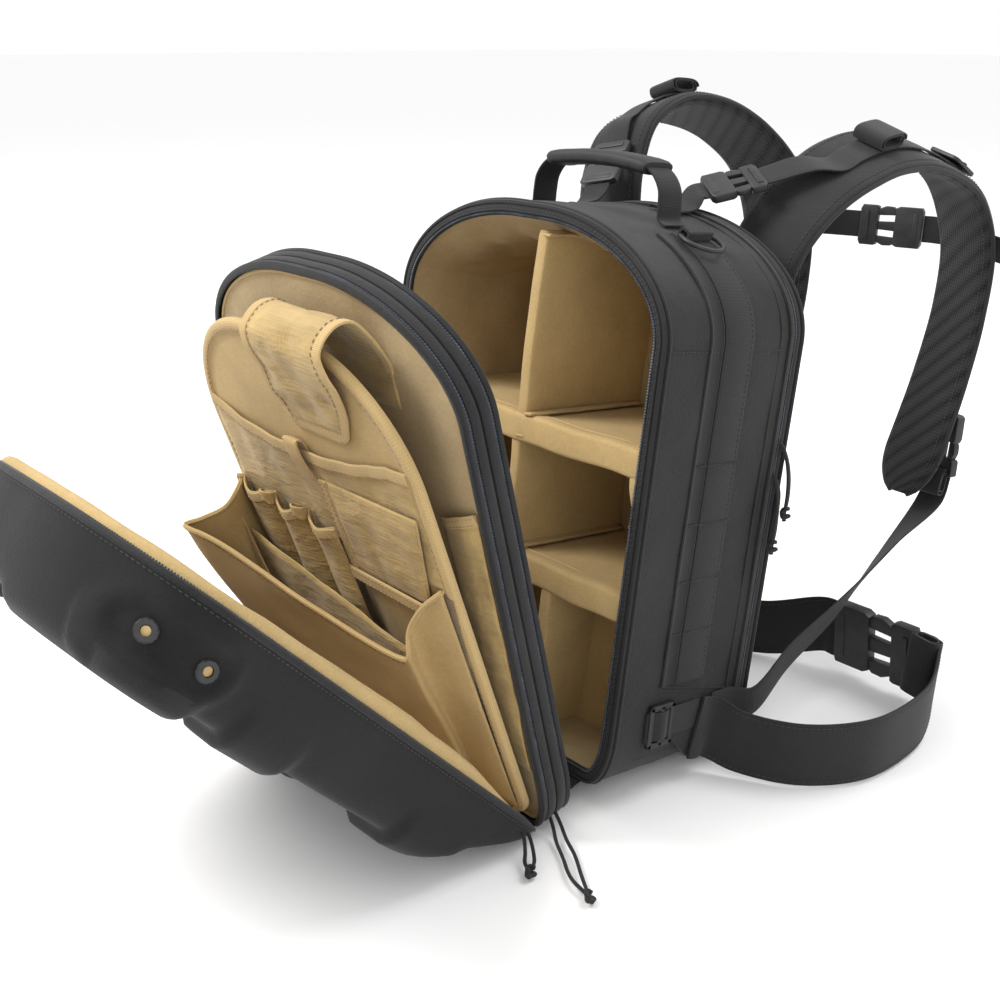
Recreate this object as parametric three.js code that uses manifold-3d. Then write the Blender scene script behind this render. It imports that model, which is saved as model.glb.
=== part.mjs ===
import * as THREE from 'three';
import { mergeVertices } from 'three/addons/utils/BufferGeometryUtils.js';
import Module from 'manifold-3d';

// Camera backpack, standing open: body, swung flap and organiser, hard shell, and harness.
// Millimetres, +Z up. The opening faces -Y, the back panel and the harness are at +Y.

const degree = Math.PI / 180;
const wasm = await Module();
wasm.setup();

// Driving dimensions
const gap = 0.3; // clearance between neighbouring pieces
const body = {
  width: 300, base: 282, height: 424, depth: 151,
  shoulderX: 136, shoulderZ: 84, heelX: 25, heelZ: 50,
  wall: 3, backRound: 6, rimRound: 1,
};
const lining = { thickness: 5, back: 12, edgeRound: 1.5 };
const zipBand = { width: 11, thickness: 3 };
const rearBand = { width: 9, thickness: 2, setIn: 7 };
const backPanel = { thickness: 12, margin: 12, crown: 6 };
const webbing = { thickness: 2, width: 25 };
const sideStrip = { width: 32, narrow: 15, middle: 74, low: 78 };
const ring = { width: 38, reach: 26, bar: 3.4, loopWall: 2, loopWidth: 26 };
const slider = { width: 27, height: 35, thickness: 4, bar: 4.5, middleY: 46, middleZ: 47 };
const handle = { footX: 78, legX: 69, rise: 36, gripHalf: 56, gripWidth: 33, gripThickness: 12, middleY: 75 };
const divider = { thickness: 8, front: 4, shelfThickness: 10, shelfEdge: 2, chamfer: 7 };
const shelf = { upper: 251, lower: 141 };
const flap = { lean: 20.3, offset: 30.8, depth: 28, wall: 5.5, panelBack: 12, panelFront: 25 };
const board = {
  lean: 24.6, width: 258, height: 378, lift: 18, corner: 95, heel: 20, thickness: 5.5, edge: 3, tail: 4.5,
};
const pocket = {
  cloth: 1.4, topEdge: 314, penEdge: 248, penLeft: -104, zipLow: 206, zipHigh: 284, zipRight: 118, middle: 12, low: 44,
};
const bellows = { depth: 70, high: 242, low: 28, cloth: 1.8 };
const closure = { width: 84, middle: 33, cloth: 2, tail: 72 };
const shell = {
  lean: 50.1, offset: 1.4, depth: 56, edge: 26, ramp: 95, wall: 4, pad: 9,
  lining: 2.5, liningGap: 1.2, lipHeight: 12, lipWidth: 10,
};
const eyelet = { bore: 3.4, barrel: 4.4, flange: 7.4, lift: 1.6, spacing: 38, along: 362, recess: 1.8 };
const strap = { width: 70, thickness: 12, spread: 95, reach: 300 };
const lifter = {
  right: { across: 36, meet: 0.25, fold: 0.33 },
  left: { across: 78, meet: 0.26, fold: 0.36 },
};
const foldRoll = { length: 40, width: 30, height: 15, wall: 3 };
const clip = { length: 34, width: 30, thickness: 5, corner: 4, lean: -10 };
const lowerWebbing = { right: 48, left: 92 };
const sternumAt = { right: 0.645, left: 0.68 }; // share of the way along each shoulder strap
const belt = { width: 52, thickness: 2.6, clear: 2.2 };
const buckle = { length: 60, width: 38, thickness: 9 };
const lifterBuckle = { length: 46, width: 36, thickness: 7 };
const beltBuckle = { length: 84, width: 60, thickness: 12 };
const pull = { diameter: 2.8, knot: 9 };

const finishes = {
  nylon: { color: 0x2e2e30, roughness: 0.85, metalness: 0 },
  webbing: { color: 0x29292b, roughness: 0.8, metalness: 0 },
  plastic: { color: 0x232325, roughness: 0.5, metalness: 0 },
  felt: { color: 0x262628, roughness: 0.95, metalness: 0 },
  mesh: { color: 0x1e1e20, roughness: 0.9, metalness: 0 },
  tan: { color: 0xc2a468, roughness: 0.9, metalness: 0 },
  ripstop: { color: 0xcaa968, roughness: 0.75, metalness: 0 },
  cord: { color: 0x161617, roughness: 0.8, metalness: 0 },
};

const bag = new THREE.Group();

function add(name, geometry, finish) {
  const mesh = new THREE.Mesh(geometry, new THREE.MeshStandardMaterial(finishes[finish]));
  mesh.name = name;
  bag.add(mesh);
}

// Mesh helpers

const vector = (x, y, z) => new THREE.Vector3(x, y, z);
const mix = (a, b, share) => a + (b - a) * share;

function closedMesh(points, faces) {
  let volume = 0;
  for (const [a, b, c] of faces) volume += points[a].dot(new THREE.Vector3().crossVectors(points[b], points[c]));
  const geometry = new THREE.BufferGeometry();
  geometry.setAttribute('position', new THREE.Float32BufferAttribute(points.flatMap((p) => [p.x, p.y, p.z]), 3));
  geometry.setIndex((volume < 0 ? faces.map(([a, b, c]) => [a, c, b]) : faces).flat());
  return geometry;
}

// A solid through rings of equal length, either joined end to end or closed by a cap at each end.
// Each four-sided face is split along its shorter diagonal, so neighbouring skins bend alike.
function ringSolid(rings, looped) {
  const count = rings[0].length;
  const points = rings.flat();
  const faces = [];
  const spans = looped ? rings.length : rings.length - 1;
  for (let r = 0; r < spans; r++) {
    const a = r * count;
    const b = ((r + 1) % rings.length) * count;
    for (let i = 0; i < count; i++) {
      const j = (i + 1) % count;
      const rising = points[a + i].distanceToSquared(points[b + j]);
      const falling = points[a + j].distanceToSquared(points[b + i]);
      if (rising <= falling) faces.push([a + i, a + j, b + j], [a + i, b + j, b + i]);
      else faces.push([a + i, a + j, b + i], [a + j, b + j, b + i]);
    }
  }
  if (!looped) {
    const last = (rings.length - 1) * count;
    const first = ringCentre(rings[0]);
    const end = ringCentre(rings[rings.length - 1]);
    points.push(first, end);
    for (let i = 0; i < count; i++) {
      const j = (i + 1) % count;
      faces.push([points.length - 2, j, i], [points.length - 1, last + i, last + j]);
    }
  }
  return closedMesh(points, faces);
}

function ringCentre(points) {
  return points.reduce((sum, p) => sum.add(p), new THREE.Vector3()).divideScalar(points.length);
}

// A cloth of some thickness over the surface centre(u, v), with u and v from 0 to 1.
function sheet(centre, thickness, countU, countV) {
  const step = 1e-3;
  const points = [];
  for (const side of [-0.5, 0.5]) {
    for (let i = 0; i <= countU; i++) {
      for (let j = 0; j <= countV; j++) {
        const u = i / countU;
        const v = j / countV;
        const alongU = centre(Math.min(u + step, 1), v).sub(centre(Math.max(u - step, 0), v));
        const alongV = centre(u, Math.min(v + step, 1)).sub(centre(u, Math.max(v - step, 0)));
        const normal = alongU.cross(alongV).normalize();
        points.push(centre(u, v).addScaledVector(normal, side * thickness));
      }
    }
  }
  const row = countV + 1;
  const back = row * (countU + 1);
  const faces = [];
  const quad = (a, b, c, d) => faces.push([a, b, c], [a, c, d]);
  for (let i = 0; i < countU; i++) {
    for (let j = 0; j < countV; j++) {
      const a = i * row + j;
      quad(a, a + 1, a + row + 1, a + row);
      quad(back + a, back + a + row, back + a + row + 1, back + a + 1);
    }
    const low = i * row;
    const high = low + countV;
    quad(low, low + row, back + low + row, back + low);
    quad(high + row, high, back + high, back + high + row);
  }
  for (let j = 0; j < countV; j++) {
    const far = countU * row + j;
    quad(j + 1, j, back + j, back + j + 1);
    quad(far, far + 1, back + far + 1, back + far);
  }
  return closedMesh(points, faces);
}

// A flat shape of some depth, centred on its own plane.
function plate(shape, depth) {
  const geometry = new THREE.ExtrudeGeometry(shape, { depth, bevelEnabled: false, curveSegments: 3 });
  return geometry.translate(0, 0, -depth / 2);
}

function mirrored(geometry) {
  const copy = geometry.clone().applyMatrix4(new THREE.Matrix4().makeScale(-1, 1, 1));
  const order = copy.index ? Array.from(copy.index.array) : [...copy.attributes.position.array.keys()]
    .slice(0, copy.attributes.position.count);
  for (let i = 0; i < order.length; i += 3) [order[i + 1], order[i + 2]] = [order[i + 2], order[i + 1]];
  copy.setIndex(order);
  return copy;
}

function addPair(name, geometry, finish) {
  add(`${name}_right`, geometry, finish);
  add(`${name}_left`, mirrored(geometry), finish);
}

// Solid joins and cuts
function toManifold(geometry) {
  const bare = geometry.clone();
  bare.deleteAttribute('normal');
  bare.deleteAttribute('uv');
  const merged = mergeVertices(bare, 1e-4);
  return new wasm.Manifold(new wasm.Mesh({
    numProp: 3, vertProperties: merged.attributes.position.array, triVerts: Uint32Array.from(merged.index.array),
  }));
}

function fromManifold(solid) {
  const result = solid.getMesh();
  const geometry = new THREE.BufferGeometry();
  geometry.setAttribute('position', new THREE.BufferAttribute(Float32Array.from(result.vertProperties), 3));
  geometry.setIndex(Array.from(result.triVerts));
  return geometry;
}

const joined = (parts) => fromManifold(parts.map(toManifold).reduce((sum, part) => sum.add(part)));
const cut = (base, tools) => fromManifold(tools.reduce((rest, tool) => rest.subtract(toManifold(tool)),
  toManifold(base)));

// A frame whose x axis runs along one direction and whose z axis is the face normal.
function frameAt(origin, along, face) {
  const x = along.clone().normalize();
  const z = face.clone().addScaledVector(x, -face.dot(x)).normalize();
  return new THREE.Matrix4().makeBasis(x, new THREE.Vector3().crossVectors(z, x), z).setPosition(origin);
}

// The arched outline that the body, flap, organiser board and shell share

const steps = { heel: 4, side: 4, shoulder: 8 };

function halfOutline(size, inset, sideSteps = steps.side) {
  const low = inset + (size.lift ?? 0);
  const high = size.height + (size.lift ?? 0) - inset;
  const heelX = Math.max(size.heelX - inset, 1);
  const heelZ = Math.max(size.heelZ - inset, 1);
  const shoulderX = Math.max(size.shoulderX - inset, 2);
  const shoulderZ = Math.max(size.shoulderZ - inset, 2);
  const baseX = size.base / 2 - inset;
  const sideX = size.width / 2 - inset;
  const points = [[0, low]];
  for (let i = 0; i <= steps.heel; i++) {
    const turn = (i / steps.heel - 1) * 90 * degree;
    points.push([baseX - heelX + heelX * Math.cos(turn), low + heelZ + heelZ * Math.sin(turn)]);
  }
  for (let i = 1; i < sideSteps; i++) {
    const share = i / sideSteps;
    points.push([baseX + (sideX - baseX) * share, (low + heelZ) * (1 - share) + (high - shoulderZ) * share]);
  }
  for (let i = 0; i <= steps.shoulder; i++) {
    const turn = (i / steps.shoulder) * 90 * degree;
    points.push([sideX - shoulderX + shoulderX * Math.cos(turn), high - shoulderZ + shoulderZ * Math.sin(turn)]);
  }
  points.push([0, high]);
  return points;
}

function outline(size, inset, sideSteps) {
  const half = halfOutline(size, inset, sideSteps);
  return [...half, ...half.slice(1, -1).reverse().map(([x, z]) => [-x, z])];
}

// Half the width of an outline at a height on its side or shoulder.
function halfWidthAt(size, inset, height) {
  const half = halfOutline(size, inset);
  const i = half.findIndex(([, z], k) => k > 0 && z >= height);
  const [x0, z0] = half[i - 1];
  const [x1, z1] = half[i];
  return x0 + ((x1 - x0) * (height - z0)) / (z1 - z0 || 1);
}

// Height of the arched top at a place across it.
function topAt(inset, x) {
  const half = halfOutline(body, inset);
  const i = half.findIndex(([px, pz], k) => k > 0 && pz > body.height / 2 && px <= x);
  const [x0, z0] = half[i - 1];
  const [x1, z1] = half[i];
  return z0 + ((z1 - z0) * (x - x0)) / (x1 - x0);
}

// A panel swung about the base edge: s runs up the panel, w stands out from it to the front.
function panelFrame(lean, y, z) {
  const sine = Math.sin(lean * degree);
  const cosine = Math.cos(lean * degree);
  return (x, s, w) => new THREE.Vector3(x, y - s * sine - w * cosine, z + s * cosine - w * sine);
}

const upright = panelFrame(0, 0, 0);
const flapPlace = panelFrame(flap.lean, 0, 0);
const boardFoot = flapPlace(0, 0, flap.offset + flap.depth);
const boardPlace = panelFrame(board.lean, boardFoot.y, boardFoot.z);
const shellFoot = flapPlace(0, 0, flap.offset + flap.depth + shell.offset);
const shellPlace = panelFrame(shell.lean, shellFoot.y, shellFoot.z);

// Rings of an outline at rows of inset and height above the panel.
function profileRings(size, rows, place) {
  return rows.map(([inset, w]) => outline(size, inset).map(([x, s]) => place(x, s, w)));
}

// Body

function bodyRows(rows) {
  return profileRings(body, rows.map(([inset, y]) => [inset, -y]), upright);
}

const liningOut = body.wall + gap;
const liningIn = liningOut + lining.thickness;
const liningBack = body.depth - liningOut;
const innerBack = liningBack - lining.back;
const liningRim = liningIn + lining.edgeRound;

add('body_shell', ringSolid(bodyRows([
  [body.backRound, body.depth],
  [body.backRound * 0.3, body.depth - body.backRound * 0.3],
  [0, body.depth - body.backRound],
  [0, body.rimRound],
  [body.rimRound, 0],
  [body.wall, 0],
  [body.wall, body.depth - body.wall - body.backRound],
  [body.wall + body.backRound * 0.7, body.depth - body.wall],
]), false), 'nylon');

add('body_lining', ringSolid(bodyRows([
  [liningOut + body.backRound, liningBack],
  [liningOut, liningBack - body.backRound],
  [liningOut, gap],
  [liningOut + lining.thickness * 0.7, gap],
  [liningRim, lining.thickness],
  [liningIn, lining.thickness * 2],
  [liningIn, innerBack - body.backRound],
  [liningIn + body.backRound, innerBack],
]), false), 'tan');

add('body_zip_band', ringSolid(bodyRows([
  [body.rimRound, -gap],
  [0, -zipBand.thickness * 0.6],
  [body.wall, -zipBand.thickness],
  [zipBand.width * 0.8, -zipBand.thickness],
  [zipBand.width, -zipBand.thickness * 0.6],
  [zipBand.width, -gap],
]), true), 'nylon');

const rearEdge = body.depth - rearBand.setIn;
add('rear_zip_band', ringSolid(bodyRows([
  [-gap, rearEdge - rearBand.width],
  [-gap - rearBand.thickness, rearEdge - rearBand.width * 0.85],
  [-gap - rearBand.thickness, rearEdge - rearBand.width * 0.15],
  [-gap, rearEdge],
]), true), 'nylon');

const panelFace = body.depth + backPanel.thickness;
add('back_panel', ringSolid(bodyRows([
  [backPanel.margin + 2, body.depth + gap],
  [backPanel.margin, body.depth + backPanel.thickness * 0.3],
  [backPanel.margin, panelFace - backPanel.crown],
  [backPanel.margin + backPanel.crown, panelFace],
]), false), 'mesh');

// Webbing and piped strip that run down each side from the handle
function sidePath(inset) {
  const half = halfOutline(body, inset);
  const start = half.findIndex(([, z], i) => i > 0 && z > sideStrip.low);
  const [x0, z0] = half[start - 1];
  const [x1, z1] = half[start];
  const share = (sideStrip.low - z0) / (z1 - z0);
  const end = half.length - 1 - Math.round(steps.shoulder / 2) + 1;
  return [[x0 + (x1 - x0) * share, sideStrip.low], ...half.slice(start, end)];
}

const stripFront = sideStrip.middle - sideStrip.width / 2;
const stripBack = sideStrip.middle + sideStrip.width / 2;
const stripInner = sidePath(-gap);
const stripLow = sidePath(-gap - webbing.thickness / 2);
const stripHigh = sidePath(-gap - webbing.thickness);
const at = ([x, z], y) => new THREE.Vector3(x, y, z);
addPair('side_webbing', ringSolid(stripInner.map((inner, i) => [
  at(inner, stripFront - sideStrip.narrow),
  at(stripLow[i], stripFront - sideStrip.narrow),
  at(stripLow[i], stripFront),
  at(stripHigh[i], stripFront),
  at(stripHigh[i], stripBack),
  at(inner, stripBack),
]), false), 'webbing');

// D-ring in a webbing loop, on the facet of the shoulder below the handle
const facetHigh = stripHigh[stripHigh.length - 1];
const facetLow = stripHigh[stripHigh.length - 2];
const facetAlong = at(facetLow, 0).sub(at(facetHigh, 0)).normalize();
const facetFace = new THREE.Vector3(-facetAlong.z, 0, facetAlong.x);
const loopHalf = ring.bar / 2 + gap + ring.loopWall;
const loopCentre = at(facetHigh, sideStrip.middle)
  .addScaledVector(facetAlong, loopHalf * 1.6)
  .addScaledVector(facetFace, loopHalf + gap);
const loopFrame = frameAt(loopCentre, facetAlong, facetFace);

function rounded(width, height, radius, ShapeType = THREE.Shape) {
  const shape = new ShapeType();
  const x = width / 2;
  const y = height / 2;
  shape.moveTo(x - radius, -y);
  shape.absarc(x - radius, -y + radius, radius, -90 * degree, 0);
  shape.absarc(x - radius, y - radius, radius, 0, 90 * degree);
  shape.absarc(-x + radius, y - radius, radius, 90 * degree, 180 * degree);
  shape.absarc(-x + radius, -y + radius, radius, 180 * degree, 270 * degree);
  return shape;
}

const loopShape = rounded(loopHalf * 2.6, loopHalf * 2, ring.loopWall);
loopShape.holes.push(rounded(loopHalf * 2.6 - ring.loopWall * 2, (loopHalf - ring.loopWall) * 2, 1, THREE.Path));
addPair('ring_loop', plate(loopShape, ring.loopWidth).rotateX(90 * degree).applyMatrix4(loopFrame), 'webbing');

const ringShape = new THREE.Shape();
const ringHalf = ring.width / 2;
ringShape.moveTo(-ring.bar / 2, -ringHalf);
ringShape.lineTo(ring.reach - ringHalf, -ringHalf);
ringShape.absarc(ring.reach - ringHalf, 0, ringHalf, -90 * degree, 90 * degree);
ringShape.lineTo(-ring.bar / 2, ringHalf);
ringShape.closePath();
const ringHole = new THREE.Path();
ringHole.moveTo(ring.bar / 2, -ringHalf + ring.bar);
ringHole.lineTo(ring.reach - ringHalf, -ringHalf + ring.bar);
ringHole.absarc(ring.reach - ringHalf, 0, ringHalf - ring.bar, -90 * degree, 90 * degree);
ringHole.lineTo(ring.bar / 2, ringHalf - ring.bar);
ringHole.closePath();
ringShape.holes.push(ringHole);
addPair('d_ring', plate(ringShape, ring.bar).applyMatrix4(loopFrame), 'plastic');

// Slider of the compression strap, low on each side
const sliderShape = rounded(slider.height, slider.width, 3);
const slotHalf = (slider.width - slider.bar * 3) / 4;
for (const side of [-1, 1]) {
  const hole = rounded(slider.height - slider.bar * 2, slotHalf * 2, 1, THREE.Path);
  hole.curves.forEach((curve) => {
    if (curve.isEllipseCurve) curve.aY += side * (slotHalf + slider.bar / 2);
    else [curve.v1, curve.v2].forEach((v) => v.setY(v.y + side * (slotHalf + slider.bar / 2)));
  });
  sliderShape.holes.push(hole);
}
const sliderX = halfWidthAt(body, 0, slider.middleZ + slider.height / 2) + gap + slider.thickness / 2;
addPair('side_slider', plate(sliderShape, slider.thickness).applyMatrix4(frameAt(
  new THREE.Vector3(sliderX, slider.middleY, slider.middleZ), new THREE.Vector3(0, 0, 1), new THREE.Vector3(1, 0, 0),
)), 'plastic');

// Ribbons of webbing: a rectangle or a padded section carried along a route.
// Each row of a route has a point and the direction across the ribbon there.
function ribbonFrames(rows, count) {
  const curve = new THREE.CatmullRomCurve3(rows.map((row) => row.point), false, 'centripetal');
  const frames = [];
  for (let i = 0; i <= count; i++) {
    const t = i / count;
    const place = t * (rows.length - 1);
    const k = Math.min(Math.floor(place), rows.length - 2);
    const tangent = curve.getTangent(t);
    const side = rows[k].side.clone().lerp(rows[k + 1].side, place - k);
    side.addScaledVector(tangent, -side.dot(tangent)).normalize();
    const normal = new THREE.Vector3().crossVectors(side, tangent);
    frames.push({ t, point: curve.getPoint(t), tangent, side, normal });
  }
  return frames;
}

const offsetFrom = (frame, across, out) => frame.point.clone()
  .addScaledVector(frame.side, across).addScaledVector(frame.normal, out);

function flatSection(frame, width, thickness) {
  const x = width / 2;
  const y = thickness / 2;
  return [[-x, -y], [x, -y], [x, y], [-x, y]].map(([across, out]) => offsetFrom(frame, across, out));
}

function paddedSection(frame, width, thickness) {
  const x = width / 2;
  const y = thickness / 2;
  const edge = Math.min(thickness * 0.45, x * 0.5);
  return [[-x, -y * 0.4], [edge - x, -y], [x - edge, -y], [x, -y * 0.4], [x, y * 0.4], [x - edge, y], [edge - x, y],
    [-x, y * 0.4]].map(([across, out]) => offsetFrom(frame, across, out));
}

function ribbon(rows, width, thickness, count) {
  return ringSolid(ribbonFrames(rows, count).map((frame) => flatSection(frame, width, thickness)), false);
}

const acrossY = vector(0, 1, 0);

// Carry handle over the middle of the body
const surfaceZ = (x) => topAt(-gap, x);
const handleTop = body.height + handle.rise;
const handleRight = [
  [handle.footX, surfaceZ(handle.footX) + webbing.thickness * 0.6],
  [handle.legX + 1, surfaceZ(handle.legX) + webbing.thickness * 1.2],
  [handle.legX, surfaceZ(handle.legX) + handle.rise * 0.35],
  [handle.legX - 2, surfaceZ(handle.legX) + handle.rise * 0.7],
  [handle.gripHalf, handleTop - handle.rise * 0.16],
  [handle.gripHalf * 0.5, handleTop - handle.rise * 0.03],
];
const handleRows = [
  ...handleRight.map(([x, z]) => ({ point: vector(-x, handle.middleY, z), side: acrossY })),
  { point: vector(0, handle.middleY, handleTop), side: acrossY },
  ...handleRight.slice().reverse().map(([x, z]) => ({ point: vector(x, handle.middleY, z), side: acrossY })),
];
const handleFrames = ribbonFrames(handleRows, 36);
add('handle_webbing', ringSolid(handleFrames.map((f) => flatSection(f, webbing.width, webbing.thickness)), false),
  'webbing');
const gripFrames = handleFrames.filter((f) => Math.abs(f.point.x) < handle.gripHalf);
add('handle_grip', ringSolid([
  ...gripFrames.map((f) => paddedSection(f, handle.gripWidth, handle.gripThickness)),
  ...gripFrames.slice().reverse()
    .map((f) => paddedSection(f, webbing.width + gap * 4, webbing.thickness * 2 + gap * 2)),
], true), 'plastic');

// Padded shelves and dividers inside the body

const roomBack = innerBack - gap;
const floorZ = liningRim + gap;

// Outline of a shelf seen from above, drawn in by an inset.
function shelfRing(halfWidth, inset, z) {
  const x = halfWidth - inset;
  const front = divider.front + inset;
  const back = roomBack - inset;
  const corner = divider.chamfer;
  return [
    [-x, front], [x, front], [x, back - corner], [x - corner, back], [corner - x, back], [-x, back - corner],
  ].map(([px, y]) => vector(px, y, z));
}

for (const [name, low] of [['upper_shelf', shelf.upper], ['lower_shelf', shelf.lower]]) {
  const high = low + divider.shelfThickness;
  const halfWidth = Math.min(halfWidthAt(body, liningRim + gap, low), halfWidthAt(body, liningRim + gap, high));
  add(name, ringSolid([
    shelfRing(halfWidth, divider.shelfEdge, low),
    shelfRing(halfWidth, 0, low + divider.shelfEdge),
    shelfRing(halfWidth, 0, high - divider.shelfEdge),
    shelfRing(halfWidth, divider.shelfEdge, high),
  ], false), 'tan');
}

// An upright divider from front to back, whose foot is shifted sideways.
function standing(x, low, high, footShift, back) {
  const shape = new THREE.Shape();
  shape.moveTo(divider.front, low);
  shape.lineTo(back, low);
  shape.lineTo(back, high - divider.chamfer);
  shape.lineTo(back - divider.chamfer, high);
  shape.lineTo(divider.front, high);
  shape.closePath();
  const geometry = new THREE.ExtrudeGeometry(shape, { depth: divider.thickness, bevelEnabled: false });
  const place = new THREE.Matrix4().makeBasis(vector(0, 1, 0), vector(0, 0, 1), vector(1, 0, 0));
  const shear = footShift / (high - low);
  const slant = new THREE.Matrix4().set(1, 0, shear, -shear * high, 0, 1, 0, 0, 0, 0, 1, 0, 0, 0, 0, 1);
  return closedCopy(geometry.applyMatrix4(place).translate(x - divider.thickness / 2, 0, 0).applyMatrix4(slant));
}

const upperX = 11;
const archUnder = topAt(liningRim + gap, upperX + divider.thickness) - gap;
add('upper_divider', standing(upperX, shelf.upper + divider.shelfThickness + gap, archUnder, 9, roomBack), 'tan');
add('middle_divider', standing(-2, shelf.lower + divider.shelfThickness + gap, shelf.upper - gap, 0, roomBack), 'tan');

// The lower divider is folded into an L, one leg to the front and one to the right
const fold = { x: 50, y: 57, lean: 9, rows: 6 };
const legTop = shelf.lower - gap;
const legRings = [];
for (let i = 0; i <= fold.rows; i++) {
  const share = i / fold.rows;
  const z = mix(floorZ + gap, legTop, share);
  const left = fold.x - fold.lean * (1 - share);
  const right = halfWidthAt(body, liningRim + gap, z);
  const back = fold.y + divider.thickness;
  legRings.push([vector(left, fold.y, z), vector(right, fold.y, z), vector(right, back, z), vector(left, back, z)]);
}
add('lower_divider', joined([
  standing(fold.x, floorZ, legTop, fold.lean, fold.y + divider.thickness),
  ringSolid(legRings, false),
]), 'tan');

// A copy whose faces point out again after a mirroring transform.
function closedCopy(geometry) {
  const bare = geometry.clone();
  bare.deleteAttribute('normal');
  bare.deleteAttribute('uv');
  const merged = mergeVertices(bare, 1e-4);
  const position = merged.attributes.position;
  const points = Array.from({ length: position.count }, (_, i) => new THREE.Vector3().fromBufferAttribute(position, i));
  const faces = [];
  for (let i = 0; i < merged.index.count; i += 3) faces.push([0, 1, 2].map((k) => merged.index.getX(i + k)));
  return closedMesh(points, faces);
}

// Middle flap

const flapBack = flap.offset;
const flapFront = flap.offset + flap.depth;
const ribHeight = 2;
const ribRows = [0, 0.22, 0.5, 0.78, 1]
  .map((share, i) => [i % 2 ? 0 : ribHeight, flapBack + flap.depth * share]);
add('flap_band', ringSolid(profileRings(body, [
  ...ribRows,
  [flap.wall, flapFront],
  [flap.wall, flapBack],
], flapPlace), true), 'nylon');

const panelInset = flap.wall + gap;
add('flap_panel', ringSolid(profileRings(body, [
  [panelInset + 4, flapBack + flap.panelBack],
  [panelInset, flapBack + flap.panelBack + 3],
  [panelInset, flapBack + flap.panelFront - 3],
  [panelInset + 5, flapBack + flap.panelFront],
], flapPlace), false), 'tan');

const hingeHalf = body.base / 2 - body.heelX - 4;
const hingeCloth = 1;
const under = -gap - hingeCloth / 2;
function hingeSheet(points) {
  const curve = new THREE.CatmullRomCurve3(points, false, 'centripetal');
  return sheet((u, v) => curve.getPoint(v).setX((u * 2 - 1) * hingeHalf), hingeCloth, 1, 8);
}
add('flap_hinge', hingeSheet([
  vector(0, body.rimRound + 8, under),
  vector(0, body.rimRound, under),
  flapPlace(0, under, flapBack * 0.5),
  flapPlace(0, under, flapBack + 2),
  flapPlace(0, under, flapBack + 10),
]), 'nylon');

// Small hemmed pocket at the right of the flap panel
const flapPocket = { left: 100, high: 265, low: 60 };
const pocketRest = flapBack + flap.panelFront + gap + pocket.cloth / 2;
add('flap_pocket', sheet((u, v) => {
  const s = flapPocket.low + (flapPocket.high - flapPocket.low) * v;
  const right = halfWidthAt(body, panelInset + 6, s);
  const x = flapPocket.left + (right - flapPocket.left) * u;
  return flapPlace(x, s, pocketRest + 2 * Math.sin(Math.PI * u) * v);
}, pocket.cloth, 4, 3), 'ripstop');

// Organiser board with its pockets

const boardSize = {
  width: board.width, base: board.width, height: board.height, lift: board.lift,
  shoulderX: board.corner, shoulderZ: board.corner, heelX: board.heel, heelZ: board.heel,
};
const boardFace = board.thickness + gap;
const boardPlate = ringSolid(profileRings(boardSize, [
  [board.edge, gap * 2],
  [0, gap + 1],
  [0, boardFace],
  [board.edge * 0.5, boardFace + 1],
  [board.edge * 1.4, boardFace],
], boardPlace), false);
const hem = board.lift + board.heel * 0.4;
const boardTail = sheet((u, v) => boardPlace(
  (u * 2 - 1) * (board.width / 2 - board.heel),
  mix(board.tail, hem, v),
  mix(gap * 1.5, gap + 1.4, Math.min(1, v * 1.4)),
), 1, 1, 4);
add('organiser_board', joined([boardPlate, boardTail]), 'tan');

const pocketHalf = board.width / 2 - board.edge - 3;
const firstLayer = boardFace + gap + pocket.cloth / 2;
const secondLayer = firstLayer + pocket.cloth + gap;
add('top_pocket', sheet((u, v) => {
  const s = pocket.penEdge - 20 + (pocket.topEdge - pocket.penEdge + 20) * v - 5 * Math.sin(Math.PI * u) * v;
  const bulge = 3 * Math.sin(Math.PI * u) * Math.max(0, v * 2 - 1);
  return boardPlace((u * 2 - 1) * pocketHalf, s, firstLayer + bulge);
}, pocket.cloth, 10, 4), 'ripstop');

const penSlots = 3;
add('pen_pocket', sheet((u, v) => {
  const s = pocket.low + (pocket.penEdge - pocket.low) * v;
  const wave = 6 * Math.sin(Math.PI * u * penSlots) ** 2 * (0.25 + 0.75 * v);
  return boardPlace(mix(pocket.penLeft, pocket.middle, u), s, secondLayer + wave);
}, pocket.cloth, 18, 3), 'ripstop');

add('zip_pocket', sheet((u, v) => {
  const s = pocket.zipLow + (pocket.zipHigh - pocket.zipLow) * v;
  const rim = Math.min(1, Math.min(u, 1 - u) * 8, Math.min(v, 1 - v) * 5);
  const right = mix(pocket.zipRight - 18, pocket.zipRight, v);
  return boardPlace(mix(pocket.middle + gap * 2, right, u), s, secondLayer + 1.3 * v + rim);
}, pocket.cloth, 8, 5), 'ripstop');

// Bellows pocket: rows go from the left board edge over the front panel to the right board edge.
// Columns: place across the board, stand-off at the top, and height of the top edge, as shares.
const bellowsRows = [
  [-0.92, 0.13, 1.02],
  [-0.84, 0.5, 1.0],
  [-0.96, 0.98, 0.98],
  [-0.5, 0.86, 0.93],
  [0, 0.74, 0.85],
  [0.4, 0.62, 0.77],
  [0.66, 0.52, 0.73],
  [0.72, 0.3, 0.83],
  [0.94, 0.13, 0.95],
];
add('bellows_pocket', sheet((u, v) => {
  const place = u * (bellowsRows.length - 1);
  const k = Math.min(Math.floor(place), bellowsRows.length - 2);
  const [across, out, high] = bellowsRows[k].map((value, c) => mix(value, bellowsRows[k + 1][c], place - k));
  const s = mix(bellows.low, bellows.high * high, v);
  const w = mix(firstLayer + gap * 1.6, out * bellows.depth, v ** 0.6);
  return boardPlace((across * board.width) / 2, s, w);
}, bellows.cloth, 16, 5), 'ripstop');

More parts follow.
